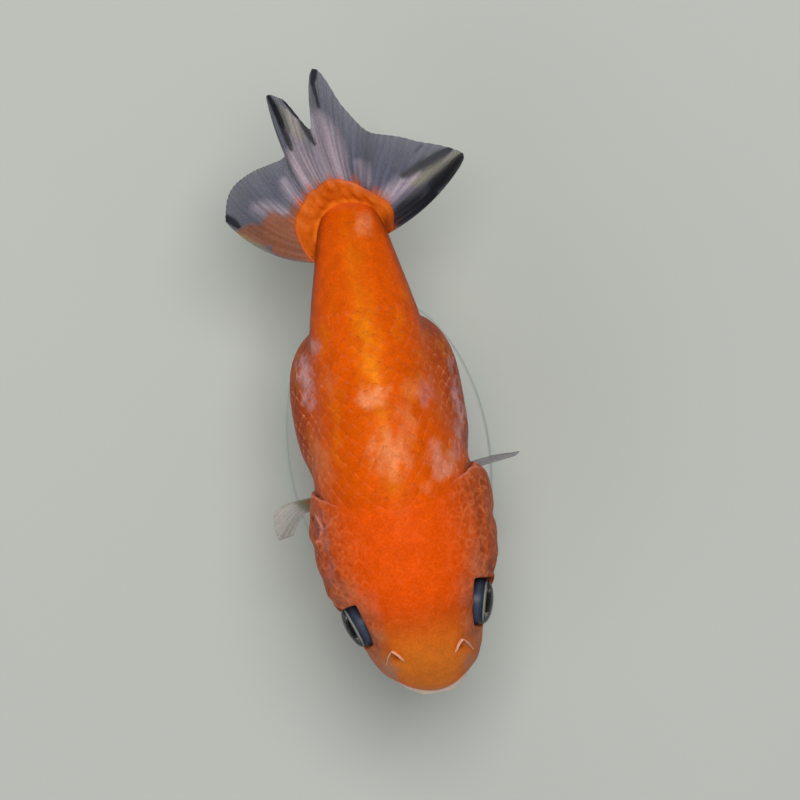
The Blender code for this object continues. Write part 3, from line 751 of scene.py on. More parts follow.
def shape_mouth(points, along):
    """Cuts the mouth round the front of the snout, with rolled lips, and gives the lips' share and that of
    the painted shade in the mouth's slit.
    """
    heart = np.array([float(SPINE_ACROSS(1.0)), 6.5, MOUTH_HEIGHT])
    outward = points - heart
    outward /= np.linalg.norm(outward, axis=-1, keepdims=True)
    droop = 1.5 * ease(0.5, 6.0, along)
    above = points[..., 2] - (MOUTH_HEIGHT - droop)
    slit = 1.6 * (1 - ease(2.4, 4.9, along)) * bell(above, 0, 0.32)
    lips = bell(above, 0.85, 0.62) + 0.85 * bell(above, -0.85, 0.62) - np.exp(-((above / 5.5) ** 4))
    stand_out = LIP_DEPTH * (1 - ease(2.6, 5.6, along)) * lips
    furrow = -0.28 * bell(above, 2.2, 0.42) - 0.32 * bell(above, -2.2, 0.45)
    corner = -0.22 * bell(along - 0.25 * above, 6.0, 0.5) * ease(4.5, 1.0, np.abs(above + 0.5))
    depth = stand_out + furrow * (1 - ease(4.5, 8.0, along)) + corner - slit
    narrowed = above / (1 - 0.5 * ease(0.8, 5.0, along))
    lip = window(narrowed, -2.1, -1.5, 1.6, 2.3) * (1 - ease(3.0, 5.4, along))
    # Painted shade in the mouth's slit.
    inside = bell(above, 0, 0.3) * (1 - ease(3.0, 4.6, along))
    return points + outward * depth[..., None], lip, inside


def shape_nostrils(points):
    """Presses a pit into the skin in front of each nostril flap, and gives the share of painted shade in the
    pits.
    """
    dark = np.zeros(points.shape[:-1])
    for side in (1, -1):
        across = points[..., 0] - SPINE_ACROSS(NOSTRIL_ALONG) - side * NOSTRIL_ACROSS[side]
        away = np.hypot(across / 0.85, (points[..., 1] - NOSTRIL_ALONG) / 0.75)
        pit = bell(away, 0, 1) * (points[..., 2] > 0)
        points = points - np.stack([side * 0.3 * pit, -0.1 * pit, 0.55 * pit], -1)
        # The pit's depth also sets its painted shade.
        dark = np.maximum(dark, pit)
    return points, dark


def add_nostril_flap(shell, side):
    """V-shaped flap of skin behind a nostril, with its point to the rear."""
    path = np.array([(-1.4, 7.9), (-0.7, 9.2), (0.0, 10.1), (1.0, 9.1), (2.0, 7.7)])
    along = Curve(range(5), path[:, 1])(np.linspace(0, 4, FLAP_COLUMNS))
    across = NOSTRIL_ACROSS[side] + np.linspace(path[0, 0], path[-1, 0], FLAP_COLUMNS)
    turns = np.linspace(0, 89, 90)
    turn = [np.interp(x, body(a, turns)[:, 0] - SPINE_ACROSS(a), turns) for a, x in zip(along, across)]
    share = np.linspace(0, 1, FLAP_ROWS)[:, None]
    ends = np.sin(np.linspace(0.12, math.pi - 0.12, FLAP_COLUMNS)) ** 0.5
    high = -0.3 + (0.95 + 0.1 * np.sin(np.linspace(0, 19, FLAP_COLUMNS))) * ends * share
    middle = body(along, np.array(turn) * side, high)
    middle[..., 1] -= 0.2 * share**2
    low_v = 0.93 if side > 0 else 0.965
    sheet_solid(shell, middle, 0.12 - 0.05 * share**2, {"flap": 0.35 + 0.65 * share},
                (0.02, low_v), (0.3, low_v + 0.03))


def tail_surface(index, reach):
    """Points of the tail fan at a fractional ray number and a distance along the ray."""
    base_turn, heading, full, rise, bow = (curve(index) for curve in RAY_CURVES)
    turned, headed = np.radians(base_turn), np.radians(heading)
    zero = np.zeros_like(turned)
    root = np.stack([
        -TAIL_BASE_HALF_WIDTH * np.sin(turned),
        TAIL_BASE_MIDDLE + TAIL_BASE_HALF_LENGTH * np.cos(turned),
        zero + TAIL_BASE_HEIGHT,
    ], -1)
    ahead = np.stack([-np.sin(headed), np.cos(headed), zero], -1)
    aside = np.stack([-np.cos(headed), -np.sin(headed), zero], -1)
    tip = root + ahead * full[..., None] + np.stack([zero, zero, rise], -1)
    lift = aside * bow[..., None] + np.stack([zero, zero, zero + TAIL_ARCH], -1)
    # Each ray is a curve from its root to its tip, drawn aside and up at its middle.
    u = (reach / full)[..., None]
    middle = (root + tip) / 2 + lift * 2
    return root * (1 - u) ** 2 + middle * 2 * u * (1 - u) + tip * u * u


def collar_reach(index):
    """How far the fleshy collar runs out along each ray of the tail: furthest on the fish's right."""
    ends = 2.0 * (1 - ease(0, 1.9, index)) + 0.4 * ease(11.2, 12.4, index)
    return TAIL_BASE_REACH + 0.9 + 0.6 * (1 - ease(2.2, 5, index)) - 1.4 * ease(7.5, 9.8, index) - ends


def add_tail_base(shell):
    """Fleshy collar that thins out over the roots of the fan."""
    index = np.linspace(0, LAST_RAY, COLLAR_COLUMNS)[None, :]
    share = np.linspace(0, 1, COLLAR_ROWS)[:, None]
    middle = tail_surface(index + 0 * share, share * (collar_reach(index) + 0.25 * wave_noise(index * 4)))
    by_ray = wave_noise(index * 9)
    ends = 0.25 + 0.75 * ease(0, 2.4, index) * ease(0, 1.0, LAST_RAY - index)
    ring = np.sin(math.pi * np.clip(share, 0, 1) ** 0.8) ** 0.75
    fillet = 0.9 * np.clip(1 - share / 0.3, 0, 1) ** 2
    folds = (0.12 * by_ray + 0.3 * wave_noise(index * 1.6, share * 5)) * ring
    thickness = 0.05 + (1.0 + 0.25 * wave_noise(index * 0.9)) * ring * ends + fillet + folds
    across, along = middle[..., 0], middle[..., 1]
    values = {
        "collar": 1.0,
        "ridge": 0.3 * ring,
        # Painted shade on the collar's forward ends, beside the stalk.
        "flank": 0.25 * ease(90, 84, along),
        "rib": ease(0.3, 0.9, share) * np.clip(0.5 + 0.6 * by_ray, 0, 1),
        # Painted light on the fillet between stalk and collar, where it faces away from the key light.
        "dip": bell(share, 0.13, 0.1),
        # Painted shadow on the collar beside the stalk's lower end.
        "crease": 0.8 * ease(5.0, 7.0, across) * ease(91.5, 89.0, along),
        "rim": 0.55 * bell(share, 0.93, 0.05) * np.clip(0.6 + 0.5 * wave_noise(index * 2), 0, 1),
    }
    sheet_solid(shell, middle, thickness, values, (0.02, UV_TOP + 0.02), (0.98, 0.92))


def smooth_skin():
    """Points of the skin before its mouth and fine relief, with their along, turn and depth of groove."""
    turn = (np.arange(COLUMNS) / COLUMNS * 360 - 180)[None, :]
    along, grow, cover = skin_rows(turn)
    groove = head_grooves(along, turn)
    side = gill_side(turn)
    puff = 0.3 * wave_noise(along * 0.42, turn * 0.035 + 3) * side * window(along, 16, 26, 34, 42)
    brow = 0.25 * bell(along, 21.6, 1.6) * window(np.abs(turn), 30, 50, 74, 86)
    flare = 1.3 * bell(along, 39.2, 4.2) * (1 - 0.3 * ease(39.5, GILL_EDGE, along))
    flare = flare * left_flank(turn) * cover
    grow = grow + flare + np.minimum(puff, 0.05) - groove + brow - 0.05 * side * ease(16, 26, along)
    points = body(along, turn, grow, cover)
    points[..., 1] += 0.12 * np.exp(-along / 1.1)
    points = np.concatenate([front_rows(points[0]), points])
    along, groove = (np.pad(grid, ((MOUTH_ROWS, 0), (0, 0))) for grid in (along, groove))
    return points, along, np.broadcast_to(turn, along.shape), groove


def add_relief(points, along, turn):
    """Sinks the hollows between the folds of the head, raises its crests, and gives their shares."""
    inside = np.ones(along.shape)
    head = points[: MOUTH_ROWS + HEAD_ROWS + 1]
    cells = lump_cells(head.reshape(-1, 3) * (1, 1, LUMP_STRETCH), millimetres("lump_size"))
    inside[: len(head)] = cells.reshape(len(head), COLUMNS)
    strength = head_growth(along, turn) * (along < GILL_EDGE + 0.6)
    hollow = ease(0.0, 0.7, inside) * (0.75 + 0.35 * noise_at(points, 0.8))
    centre = [SPINE_ACROSS(along), along + gill_lean(along, turn), (TOP(along) + BOTTOM(along)) / 2]
    inward = np.stack(centre, -1) - points
    inward /= np.maximum(np.linalg.norm(inward, axis=-1, keepdims=True), 1e-6)
    points = points + inward * (hollow * millimetres("lump_depth") * strength)[..., None]
    above = ease(-2, 2, points[..., 2])
    warp = 0.3 * noise_at(points, 1.7)
    across, at = points[..., 0] + 0.22 * noise_at(points, 1.3, 4), points[..., 1]
    crest = strokes(HEAD_CRESTS, across, at + 0.7 * warp, warp, 0.8) * above
    pit = strokes(HEAD_PITS, across, at, warp, 0.8) * above
    shares = {
        "net": 1 - ease(0.02, 0.3, inside),
        # The hollows' depth also sets their painted shade.
        "hollow": np.clip(hollow, 0, 1) * strength,
        "growth": strength,
        "crest": crest,
        "pit": pit,
    }
    return points + inward * (0.3 * pit - 0.14 * crest)[..., None], shares


def build_skin():
    """One skin from the lips to the tail, with lumps, gill covers, sockets, nostril flaps and collar."""
    points, along, turn, groove = smooth_skin()
    points, lip, mouth = shape_mouth(points, along)
    points, nostril = shape_nostrils(points)
    points, relief = add_relief(points, along, turn)
    points, socket = sink_sockets(points)
    rows = len(along)
    number = np.arange(rows)
    from_edge = (number - MOUTH_ROWS - HEAD_ROWS)[:, None]
    tucked = (from_edge > 0) & (from_edge < EDGE_ROWS + 3)
    # Darker between and in front of the eyes, and painted shade along the left gill cover's open edge.
    between_eyes = 0.5 * bell(along, 14.8, 3.2) * (1 - ease(50, 80, np.abs(turn)))
    before_eyes = bell(along, 10.8, 1.8) * window(np.abs(turn), 20, 30, 50, 66)
    open_edge_shade = left_flank(turn) * bell(along, 39.8, 2.4)
    values = {
        **markings(along, turn, points),
        **relief,
        "lip": lip,
        "mouth": mouth,
        "nostril": nostril,
        # Painted shade round the eyes.
        "socket": socket,
        # Painted shadow on the skin tucked under the gill covers' rear edge.
        "crease": tucked * flap_side(turn) * (1 - 0.6 * left_flank(turn)),
        # Painted highlight along the gill cover's rear edge.
        "rim": bell(from_edge, -1.2, 1.1) * flap_side(turn),
        # Painted shade in the head's grooves and along the open gill edge, and darker between and in front of
        # the eyes.
        "fold": np.maximum.reduce([groove * 2, between_eyes, before_eyes, open_edge_shade]),
    }
    quads, i, j = grid_quads(rows, COLUMNS, closed=True)
    run = np.where(number < MOUTH_ROWS, -MOUTH_LENGTH * (1 - number / MOUTH_ROWS), along.mean(axis=1))
    around = np.arange(COLUMNS)
    ends = [(rows - 1) * COLUMNS + around, around[::-1]]
    poles = [points[0].mean(axis=0), points[-1].mean(axis=0)]
    fans = [np.stack([np.full(COLUMNS, rows * COLUMNS + 1 - k), ring, np.roll(ring, -1)], -1)
            for k, ring in enumerate(ends)]
    fan_uvs = [np.full((COLUMNS, 3, 2), (0.5, 0.005)) for _ in fans]
    for key, value in values.items():
        values[key] = np.concatenate([value.ravel(), value[0, :1], value[-1, :1]])
    shell = Shell()
    shell.add(np.concatenate([points.reshape(-1, 3), poles]), [quads, *fans],
              [skin_uv(run[i], j / COLUMNS), *fan_uvs], values)
    for side in (1, -1):
        add_nostril_flap(shell, side)
    add_tail_base(shell)
    return shell.build("skin")


# ---- scales ----

SCALE_COLUMNS, SCALE_ROWS = 8, 7
SCALE_LENGTH = 2.9          # in scale steps
SCALE_HALF_WIDTH = 0.54     # in spacings of its ring, so that neighbours overlap
SCALE_PATCH = 0.003         # each scale's part of the unwrap
# Each coat's name, first and last along, scales in a ring, and share of the scales' lift.
SCALE_COATS = (
    ("scales_trunk", 38.6, 70.6, 34, 1.0),
    ("scales_stalk", 70.6, 91.6, 22, 0.5),
)
LATERAL_LINE_TURN, LATERAL_LINE_HALF_WIDTH = 88.0, 4.6


def build_scales():
    """Two coats of overlapping scales, trunk and tail stalk, each scale a thin curved plate."""
    rng = np.random.default_rng(SEED)
    girth = Girth()
    step, lift = millimetres("scale_step"), millimetres("scale_lift")
    depth, thickness = millimetres("coat_depth"), millimetres("scale_thickness")
    u = np.linspace(-1, 1, SCALE_COLUMNS)
    v = np.linspace(0, 1, SCALE_ROWS)[:, None]
    flat = SCALE_ROWS * SCALE_COLUMNS
    template = np.concatenate(two_sided(SCALE_ROWS, SCALE_COLUMNS))[:, ::-1]
    i, j = np.divmod(np.arange(flat), SCALE_COLUMNS)
    patch = np.stack([j / (SCALE_COLUMNS - 1), i / (SCALE_ROWS - 1)], -1)
    patch = np.tile((patch - 0.5) * SCALE_PATCH, (2, 1))
    made = []
    for name, first, last, count, lifted in SCALE_COATS:
        rings = np.arange(first, last, step)
        n = len(rings) * count
        half_step = 0.5 * (np.arange(len(rings)) % 2)[:, None]
        root_along = np.repeat(rings, count) + rng.normal(0, 0.05, n)
        root_share = ((np.arange(count) + half_step) / count).ravel() + rng.normal(0, 0.03 / count, n)
        half = (girth.length(root_along) / count * SCALE_HALF_WIDTH)[:, None, None]
        size = rng.normal(1, 0.03, n)[:, None, None]
        long = SCALE_LENGTH * step * size * np.clip(half / 1.45, 0.72, 1.0)
        across = u * half * size * (1 - 0.3 * v**3)
        along = root_along[:, None, None] + long * v * (1 - 0.26 * u * u * v)
        turn = girth.turn(along, root_share[:, None, None] + across / girth.length(along))
        side = np.abs(turn)
        # Each scale tips sideways a little, and its sides and rear rim bend down.
        tilt = rng.normal(0, 0.012, n)[:, None, None] * (0.2 + 0.8 * ease(20, 60, side))
        low = 0.07 + lift * lifted * v - 0.03 * u * u - 0.05 * v**6 + tilt * v * u
        outer = body(along, turn, low - depth, 0.0).reshape(n, flat, 3)
        inner = body(along, turn, low - depth - thickness, 0.0).reshape(n, flat, 3)
        faces = (template[None] + (np.arange(n) * 2 * flat)[:, None, None]).reshape(-1, 4)
        root_turn = girth.turn(root_along, root_share)
        root_uv = skin_uv(root_along, (root_turn + 180) / 360)
        uv = (root_uv[:, None, None, :] + patch[template][None]).reshape(-1, 2)
        # Each scale takes its colours a little beside its place, so that patches end scale by scale.
        jitter = rng.normal(0, 0.25, (2, n, 1, 1))
        marked = body(along, turn, 0.0, 0.0)
        marked[..., 0] += jitter[1]
        marked[..., 1] += jitter[0]
        from_gill = along - GILL_EDGE - gill_frill(turn)
        on_line = np.abs(np.abs(root_turn) - LATERAL_LINE_TURN) < LATERAL_LINE_HALF_WIDTH
        values = {
            **markings(along, turn, marked),
            "shoulder": ease(26, 56, side) * (1 - ease(60, 74, along)),
            # Painted shadow on the scales just behind the gill covers' rear edge.
            "crease": ease(38, 72, side) * flap_side(turn) * (1 - ease(0.2, 1.5, from_gill)),
            "edge": v + 0.1 * u * u * v,
            "shade": rng.uniform(0, 1, n)[:, None, None],
            "pore": on_line[:, None, None] * (np.abs(u) < 0.2) * (np.abs(v - 0.72) < 0.25),
        }
        for key, value in values.items():
            values[key] = np.tile(np.broadcast_to(value, along.shape).reshape(n, flat), (1, 2))
        shell = Shell()
        shell.add(np.concatenate([outer, inner], axis=1), [faces], [uv], values)
        made.append(shell.build(name, outward=False))
    return made


# ---- fins ----

STATION_COLUMNS, TAIL_ROWS = 32, 72     # columns from one station to the next, and rows
SMALL_FIN_COLUMNS, SMALL_FIN_ROWS = 145, 48

# Marks on the tail, as strokes: both ends as across, along, then half width and strength.
TAIL_BLACK = (
    ((9.2, 89.2), (16.8, 93.2), 2.3, 1.0),
    ((15.4, 92.8), (24.2, 99.0), 1.75, 1.0),
    ((11.8, 97.3), (21.2, 100.8), 1.1, 0.85),
    ((14.8, 101.4), (16.4, 102.4), 0.45, 0.7),
    ((-1.0, 119.9), (-2.1, 116.4), 0.62, 0.95),
    ((-2.1, 117.6), (-1.7, 112.2), 0.45, 0.9),
    ((-10.7, 116.0), (-9.1, 109.6), 0.8, 1.0),
    ((-9.7, 111.0), (-8.2, 105.4), 0.55, 0.9),
    ((-9.2, 113.0), (-8.2, 108.6), 0.55, 0.6),
    ((-8.3, 115.4), (-5.9, 111.0), 0.55, 1.0),
    ((-5.6, 111.6), (-3.7, 105.6), 0.6, 0.9),
    ((-23.4, 96.0), (-20.6, 93.2), 0.85, 0.9),
    # Painted shade in the gap between two lobes.
    ((-9.3, 103.6), (-9.0, 100.6), 0.3, 0.5),
)
TAIL_PALE = (
    ((-7.6, 105.0), (-4.6, 97.0), 2.3, 1.0),
    ((-7.0, 112.0), (-6.4, 102.0), 1.5, 0.7),
    ((-2.4, 110.0), (-0.2, 96.6), 2.3, 0.9),
    ((6.6, 93.4), (14.6, 97.0), 1.5, 0.85),
    ((14.2, 96.4), (22.0, 99.2), 0.9, 0.5),
    ((-10.6, 100.0), (-8.4, 94.0), 1.4, 0.45),
    ((3.6, 101.0), (5.0, 97.4), 1.2, 0.45),
    ((-16.8, 96.0), (-11.2, 94.2), 1.5, 0.55),
)
TAIL_RUST = (
    ((-8.6, 88.6), (-13.4, 91.4), 4.4, 1.0),
    ((-7.6, 85.4), (-14.0, 87.8), 1.6, 1.0),
    ((-13.0, 90.0), (-20.4, 91.6), 1.8, 0.9),
)
TAIL_OLIVE = (
    ((-15.6, 86.8), (-21.6, 92.2), 0.8, 0.6),
    ((13.6, 95.6), (22.6, 99.8), 0.9, 0.7),
    ((-8.8, 113.0), (-6.2, 107.4), 1.0, 0.45),
)


def small_fin_surface(fin, side):
    """Gives the function that turns shares of a fin's root and of its reach into points."""
    front, rear, tips = SMALL_FINS[fin]
    mirror = np.array([side, 1.0, 1.0])
    front, rear = np.array(front) * mirror, np.array(rear) * mirror
    curves = column_curves([(k / (len(tips) - 1), *(np.array(tip) * mirror)) for k, tip in enumerate(tips)])

    def surface(share, reach):
        root = front + (rear - front) * share[..., None]
        tip = np.stack([curve(share) for curve in curves], -1)
        bow = np.zeros_like(root)
        bow[..., 2] = 0.06 * np.linalg.norm(tip - root, axis=-1)
        middle, pull = (root + tip) / 2 + bow, 1.0
        if fin in FIN_WRISTS:
            first, last = np.array(FIN_WRISTS[fin])
            middle, pull = first + (last - first) * share[..., None], 2.2
        u = reach[..., None]
        weights = (1 - u) ** 2, 2 * pull * u * (1 - u), u * u
        return (root * weights[0] + middle * weights[1] + tip * weights[2]) / sum(weights)

    return surface


def ray_ridges(place_in_fin, count, share):
    """1 on a ray and 0 between rays. Each ray forks once on its way out."""
    single = 0.5 + 0.5 * np.cos(2 * math.pi * place_in_fin * count)
    forked = 0.5 + 0.5 * np.cos(4 * math.pi * place_in_fin * count)
    fork = ease(0.3, 0.8, share)
    return single * (1 - fork) + forked * fork


def fin_thickness(ridge, share):
    """Half the thickness of a fin, thicker on its rays and thinner to its tips."""
    web, ray = millimetres("fin_web") / 2, millimetres("fin_ray") / 2
    return (web + (ray - web) * ridge) * (1 - 0.6 * share**2)


def build_tail_fan():
    """The four lobes of the double tail as one ribbed sheet."""
    index = np.linspace(0, LAST_RAY, LAST_RAY * STATION_COLUMNS + 1)[None, :]
    share = np.linspace(0, 1, TAIL_ROWS)[:, None]
    uneven = index + 0.04 * wave_noise(index * 2.3)
    ridge = ray_ridges(uneven, RAYS_BETWEEN_STATIONS, share)
    tips = ray_ridges(uneven, RAYS_BETWEEN_STATIONS, 1.0)
    full = RAY_CURVES[2](index)
    ragged = 1 - 0.005 * (1 - tips) - 0.014 * (1 + wave_noise(index * 4.7))
    start = TAIL_BASE_REACH - 1.2
    reach = start + (full * ragged - start) * share
    middle = tail_surface(index + 0 * share, reach)
    middle[..., 2] += 0.25 * wave_noise(index * 0.9, share * 2.2) * share**1.5 - 0.1
    across, along = middle[..., 0], middle[..., 1]
    by_ray = wave_noise(uneven * 9)
    tone = np.clip(0.5 + 0.26 * by_ray + 0.24 * wave_noise(uneven * 24, share * 1.6), 0, 1)
    warp = 0.1 * wave_noise(uneven * 5, share * 8) + 0.2 * by_ray + 0.24 * (tone - 0.5)
    fringe = 0.5 * wave_noise(index * 6) + 0.7 * by_ray + 0.9 * bell(index, 9.8, 0.6) - 0.3
    values = {
        "ridge_of_ray": ridge,
        "tone": tone,
        "streak": strokes(TAIL_BLACK, across, along, warp, 0.6) * (0.9 + 0.15 * tone),
        "pale": strokes(TAIL_PALE, across, along, warp, 0.95) * (0.55 + 0.7 * tone),
        "rust": strokes(TAIL_RUST, across, along, 1.3 * warp, 0.4),
        "olive": strokes(TAIL_OLIVE, across, along, warp, 0.8),
        "orange": 1 - ease(-1.2, 2.2, reach - collar_reach(index) - fringe),
        "clear": np.clip(reach / full, 0, 1) ** 2,
    }
    shell = Shell()
    sheet_solid(shell, middle, fin_thickness(ridge, share), values)
    return shell.build("tail_fan")


def build_small_fin(fin, name, side):
    """One paired fin as a ribbed sheet. name is the fin's own, and fin that of the one it mirrors."""
    pectoral = fin.startswith("pectoral")
    surface = small_fin_surface(fin, side)
    across = np.linspace(0, 1, SMALL_FIN_COLUMNS)[None, :]
    share = np.linspace(0, 1, SMALL_FIN_ROWS)[:, None]
    uneven = across + 0.012 * wave_noise(across * 11)
    tips = ray_ridges(uneven, SMALL_FIN_RAYS, 1.0)
    reach = share * (1 - 0.008 * (1 - tips) - 0.02 * (1 + wave_noise(across * 9)))
    middle = surface(across + 0 * share, reach)
    if name == "pectoral_fin_left":
        # It is half folded, so it narrows towards one of its rays.
        line = surface(0.3 + 0 * reach, reach)
        middle = line + (middle - line) * (1 - 0.35 * ease(0.1, 0.5, share))[..., None]
    middle[..., 1] += 0.12 * wave_noise(across * 6, share * 3) * share
    first = bell(across, 0, 0.06)
    ridge = np.maximum(ray_ridges(uneven, SMALL_FIN_RAYS, share), first)
    stem = 1 - ease(0.25, 0.5, share) if pectoral else 0 * share
    orange_end = 0.22 if pectoral else 0.75
    white, pale = FIN_TONES.get(name, OTHER_FIN_TONES)
    values = {
        "ridge_of_ray": ridge,
        "tone": np.clip(0.5 + 0.3 * wave_noise(across * 40, share * 2), 0, 1),
        "olive": np.maximum(first * (0.8 - 0.5 * share), 0.95 * stem) * min(white + 0.2, 1.0),
        "pale": pale * (1 - stem),
        "white": white * (1 - stem),
        "orange": 1 - ease(0.05, orange_end, share + 0.08 * wave_noise(across * 20)),
        "clear": (0.6 + share) * (1 - first) * (1 - stem),
    }
    shell = Shell()
    sheet_solid(shell, middle, fin_thickness(ridge, share) * (1 + 0.5 * first), values)
    return shell.build(name + "_web")


def build_small_fins():
    """Both pectoral fins, which lie unalike, and the mirrored pairs of pelvic and anal fins."""
    made = []
    for fin in SMALL_FINS:
        twin = fin.replace("left", "right")
        names = (fin,) if twin in SMALL_FINS else (fin, twin)
        made += [(build_small_fin(fin, name, side), name) for name, side in zip(names, (1, -1))]
    return made


# ---- eyes and stand ----


def turned_solid(name, profile, segments, matrix, squash=1.0, values=None):
    """Closed solid turned about z from radius and height pairs that start and end on the axis.

    values has a row of numbers for each name, one for each point of the profile.
    """
    profile = np.array(profile, float)
    angle = np.arange(segments) / segments * 2 * math.pi
    radius, height = profile[1:-1, 0][:, None], profile[1:-1, 1][:, None]
    ring = np.stack([radius * np.cos(angle) * squash, radius * np.sin(angle), height + 0 * angle], -1)
    rows = len(ring)
    points = np.concatenate([ring.reshape(-1, 3), [(0, 0, profile[0, 1]), (0, 0, profile[-1, 1])]])
    matrix = np.array(matrix)
    points = points @ matrix[:3, :3].T + matrix[:3, 3]
    quads, i, j = grid_quads(rows, segments, closed=True)
    run = np.linspace(0.05, 0.95, rows)
    first = np.arange(segments)
    final = first + (rows - 1) * segments
    pole = np.full(segments, rows * segments)
    caps = [np.stack([pole, np.roll(first, -1), first], -1),
            np.stack([pole + 1, final, np.roll(final, -1)], -1)]
    u = 0.01 + 0.98 * (first[:, None] + (0.5, 0.0, 1.0)) / segments
    cap_uvs = [np.stack([u, np.full(u.shape, level)], -1) for level in (0.02, 0.98)]
    spread = {}
    for key, value in (values or {}).items():
        spread[key] = np.concatenate([np.repeat(value[1:-1], segments), [value[0], value[-1]]])
    shell = Shell()
    shell.add(points, [quads, *caps], [np.stack([0.01 + 0.98 * j / segments, run[i]], -1), *cap_uvs], spread)
    return shell.build(name)


def build_eyes():
    """Eyeballs with a silvery iris and a bulging lens, each under a clear cornea."""
    flat, rim, blunt, pupil = EYE_RADIUS * EYE_FLATNESS, 4.2, 2.9, 2.1
    low = flat * (1 - (rim / EYE_RADIUS) ** blunt) ** (1 / blunt)
    quarter = math.pi / 2
    # Radius, height and zone. The zone's number picks the colour: 0 lens, 0.45 to 1.5 iris, 1.6 to 2 wall.
    back = [(EYE_RADIUS * math.sin(a), -flat * math.cos(a), 2.0) for a in np.linspace(0, quarter, 20)]
    front = [(EYE_RADIUS * (1 - (h / flat) ** blunt) ** (1 / blunt), h, 2.0 - 0.4 * h / low)
             for h in np.linspace(0.1, low, 14)]
    iris = [(radius, low + rise, zone) for radius, rise, zone in (
        (4.12, 0.25, 1.5), (3.98, 0.42, 1.4), (3.8, 0.46, 1.25), (3.62, 0.32, 1.1), (3.3, 0.26, 1.0),
        (3.0, 0.28, 0.85), (2.7, 0.34, 0.7), (2.4, 0.42, 0.55), (2.2, 0.5, 0.45),
    )]
    lens = [(pupil * math.cos(a), low + 0.5 + 1.1 * math.sin(a), 0.0) for a in np.linspace(0.05, quarter, 11)]
    ball_profile = np.array(back + front + iris + lens)
    dome = [(rim * math.cos(a), low + (flat - low) * math.sin(a) ** 0.9) for a in np.linspace(0, quarter, 16)]
    inner = [(r * 0.97, h - 0.1) for r, h in dome]
    cornea = [(0, inner[-1][1]), *inner[-2::-1], *dome[:-1], (0, dome[-1][1])]
    made = []
    for side, word in ((1, "left"), (-1, "right")):
        place_of_eye = eye_matrix(side)
        values = {"zone": ball_profile[:, 2]}
        ball = turned_solid(f"eyeball_{word}", ball_profile[:, :2], 80, place_of_eye, values=values)
        cap = turned_solid(f"cornea_{word}", cornea, 80, place_of_eye)
        made.append((ball, cap, f"eye_{word}"))
    return made


def rounded(radius, low, high, edge):
    """Side of a turned piece from low to high, with both its corners rounded."""
    quarter = np.linspace(0, math.pi / 2, 7)
    corner = [(radius - edge + edge * math.sin(a), low + edge - edge * math.cos(a)) for a in quarter]
    over = [(radius - edge + edge * math.cos(a), high - edge + edge * math.sin(a)) for a in quarter]
    return corner + over


def build_stand():
    """Oval base, and the collar and rod that hold the fish up from it."""

    def box_of(node):
        """Low and high corners of a solid, in millimetres."""
        return [[value / MM for value in corner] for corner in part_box(node)]

    wide, long, top = box_of("stand_base")[1]
    to_floor = Matrix.Translation((0.0, STAND_ALONG, -AXIS_HEIGHT))
    base_profile = [(0, 0), (long * 0.6, 0), *rounded(long, 0, top, 1.0), (long * 0.5, top), (0, top)]
    base = turned_solid("stand_base_coated", base_profile, 128, to_floor, wide / long)
    (_, _, foot), (radius, _, crest) = box_of("stand_collar")
    collar_profile = [(0.0, foot), (2.3, foot), *rounded(radius, foot, crest, 0.35), (2.6, crest),
                      (2.32, crest - 0.15), (2.32, foot + 0.1), (0.0, foot + 0.05)]
    collar = turned_solid("stand_collar_turned", collar_profile, 72, to_floor)
    (_, _, foot), (radius, _, tip) = box_of("stand_rod")
    side = [(radius, z) for z in np.linspace(foot + 1, tip - 0.4, 12)]
    rod_profile = [(0, foot), (radius * 0.9, foot), (radius, foot + 0.2), *side,
                   (radius * 0.92, tip - 0.1), (0, tip)]
    rod = turned_solid("stand_rod_turned", rod_profile, 48, to_floor)
    return base, collar, rod


# ---- materials ----

WET_TISSUE_IOR = 1.36


def add(tree, kind, inputs=(), **settings):
    """Adds a shader node with its settings and links.

    inputs go by name, or in the order of the sockets in use. Each is a value, a socket, a node, whose first
    output is linked, or the name of one of the mesh's own values.
    """
    made = tree.nodes.new("ShaderNode" + kind)
    for key, value in settings.items():
        setattr(made, key, value)
    if isinstance(inputs, dict):
        pairs = [(made.inputs[name], value) for name, value in inputs.items()]
    else:
        pairs = zip([socket for socket in made.inputs if socket.enabled], inputs)
    for socket, value in pairs:
        if isinstance(value, str):
            value = add(tree, "Attribute", attribute_name=value).outputs["Fac"]
        elif isinstance(value, bpy.types.Node):
            value = next(output for output in value.outputs if output.enabled)
        if isinstance(value, bpy.types.NodeSocket):
            tree.links.new(value, socket)
        else:
            socket.default_value = value
    return made


def new_material(name):
    """An empty material, with its tree and the socket that gives places on the piece in metres."""
    material = bpy.data.materials.new(name)
    material.use_nodes = True
    material.node_tree.nodes.clear()
    return material, material.node_tree, add(material.node_tree, "TexCoord").outputs["Object"]


def set_surface(tree, base, **inputs):
    """Gives a material its surface. base is its colour, and underscores in the inputs' names are spaces."""
    named = {name.replace("_", " "): value for name, value in inputs.items()}
    shader = add(tree, "BsdfPrincipled", {"Base Color": base, **named})
    add(tree, "OutputMaterial", {"Surface": shader})


def rgba(value):
    """Four numbers from a hex colour or from one of the user's colours."""
    return (*(linear(value) if isinstance(value, str) else value), 1.0)


def per_metre(size):
    """Scale of a pattern whose cells are so many millimetres across."""
    return 1 / (size * MM)


def layered(tree, current, layers):
    """Lays colours over one another, each as (share, more shares to multiply it by, colour, most)."""
    for share, *others, value, most in layers:
        for factor in (*others, most):
            share = add(tree, "Math", (share, factor), operation="MULTIPLY", use_clamp=True)
        current = add(tree, "Mix", (share, current, rgba(value)), data_type="RGBA")
    return current


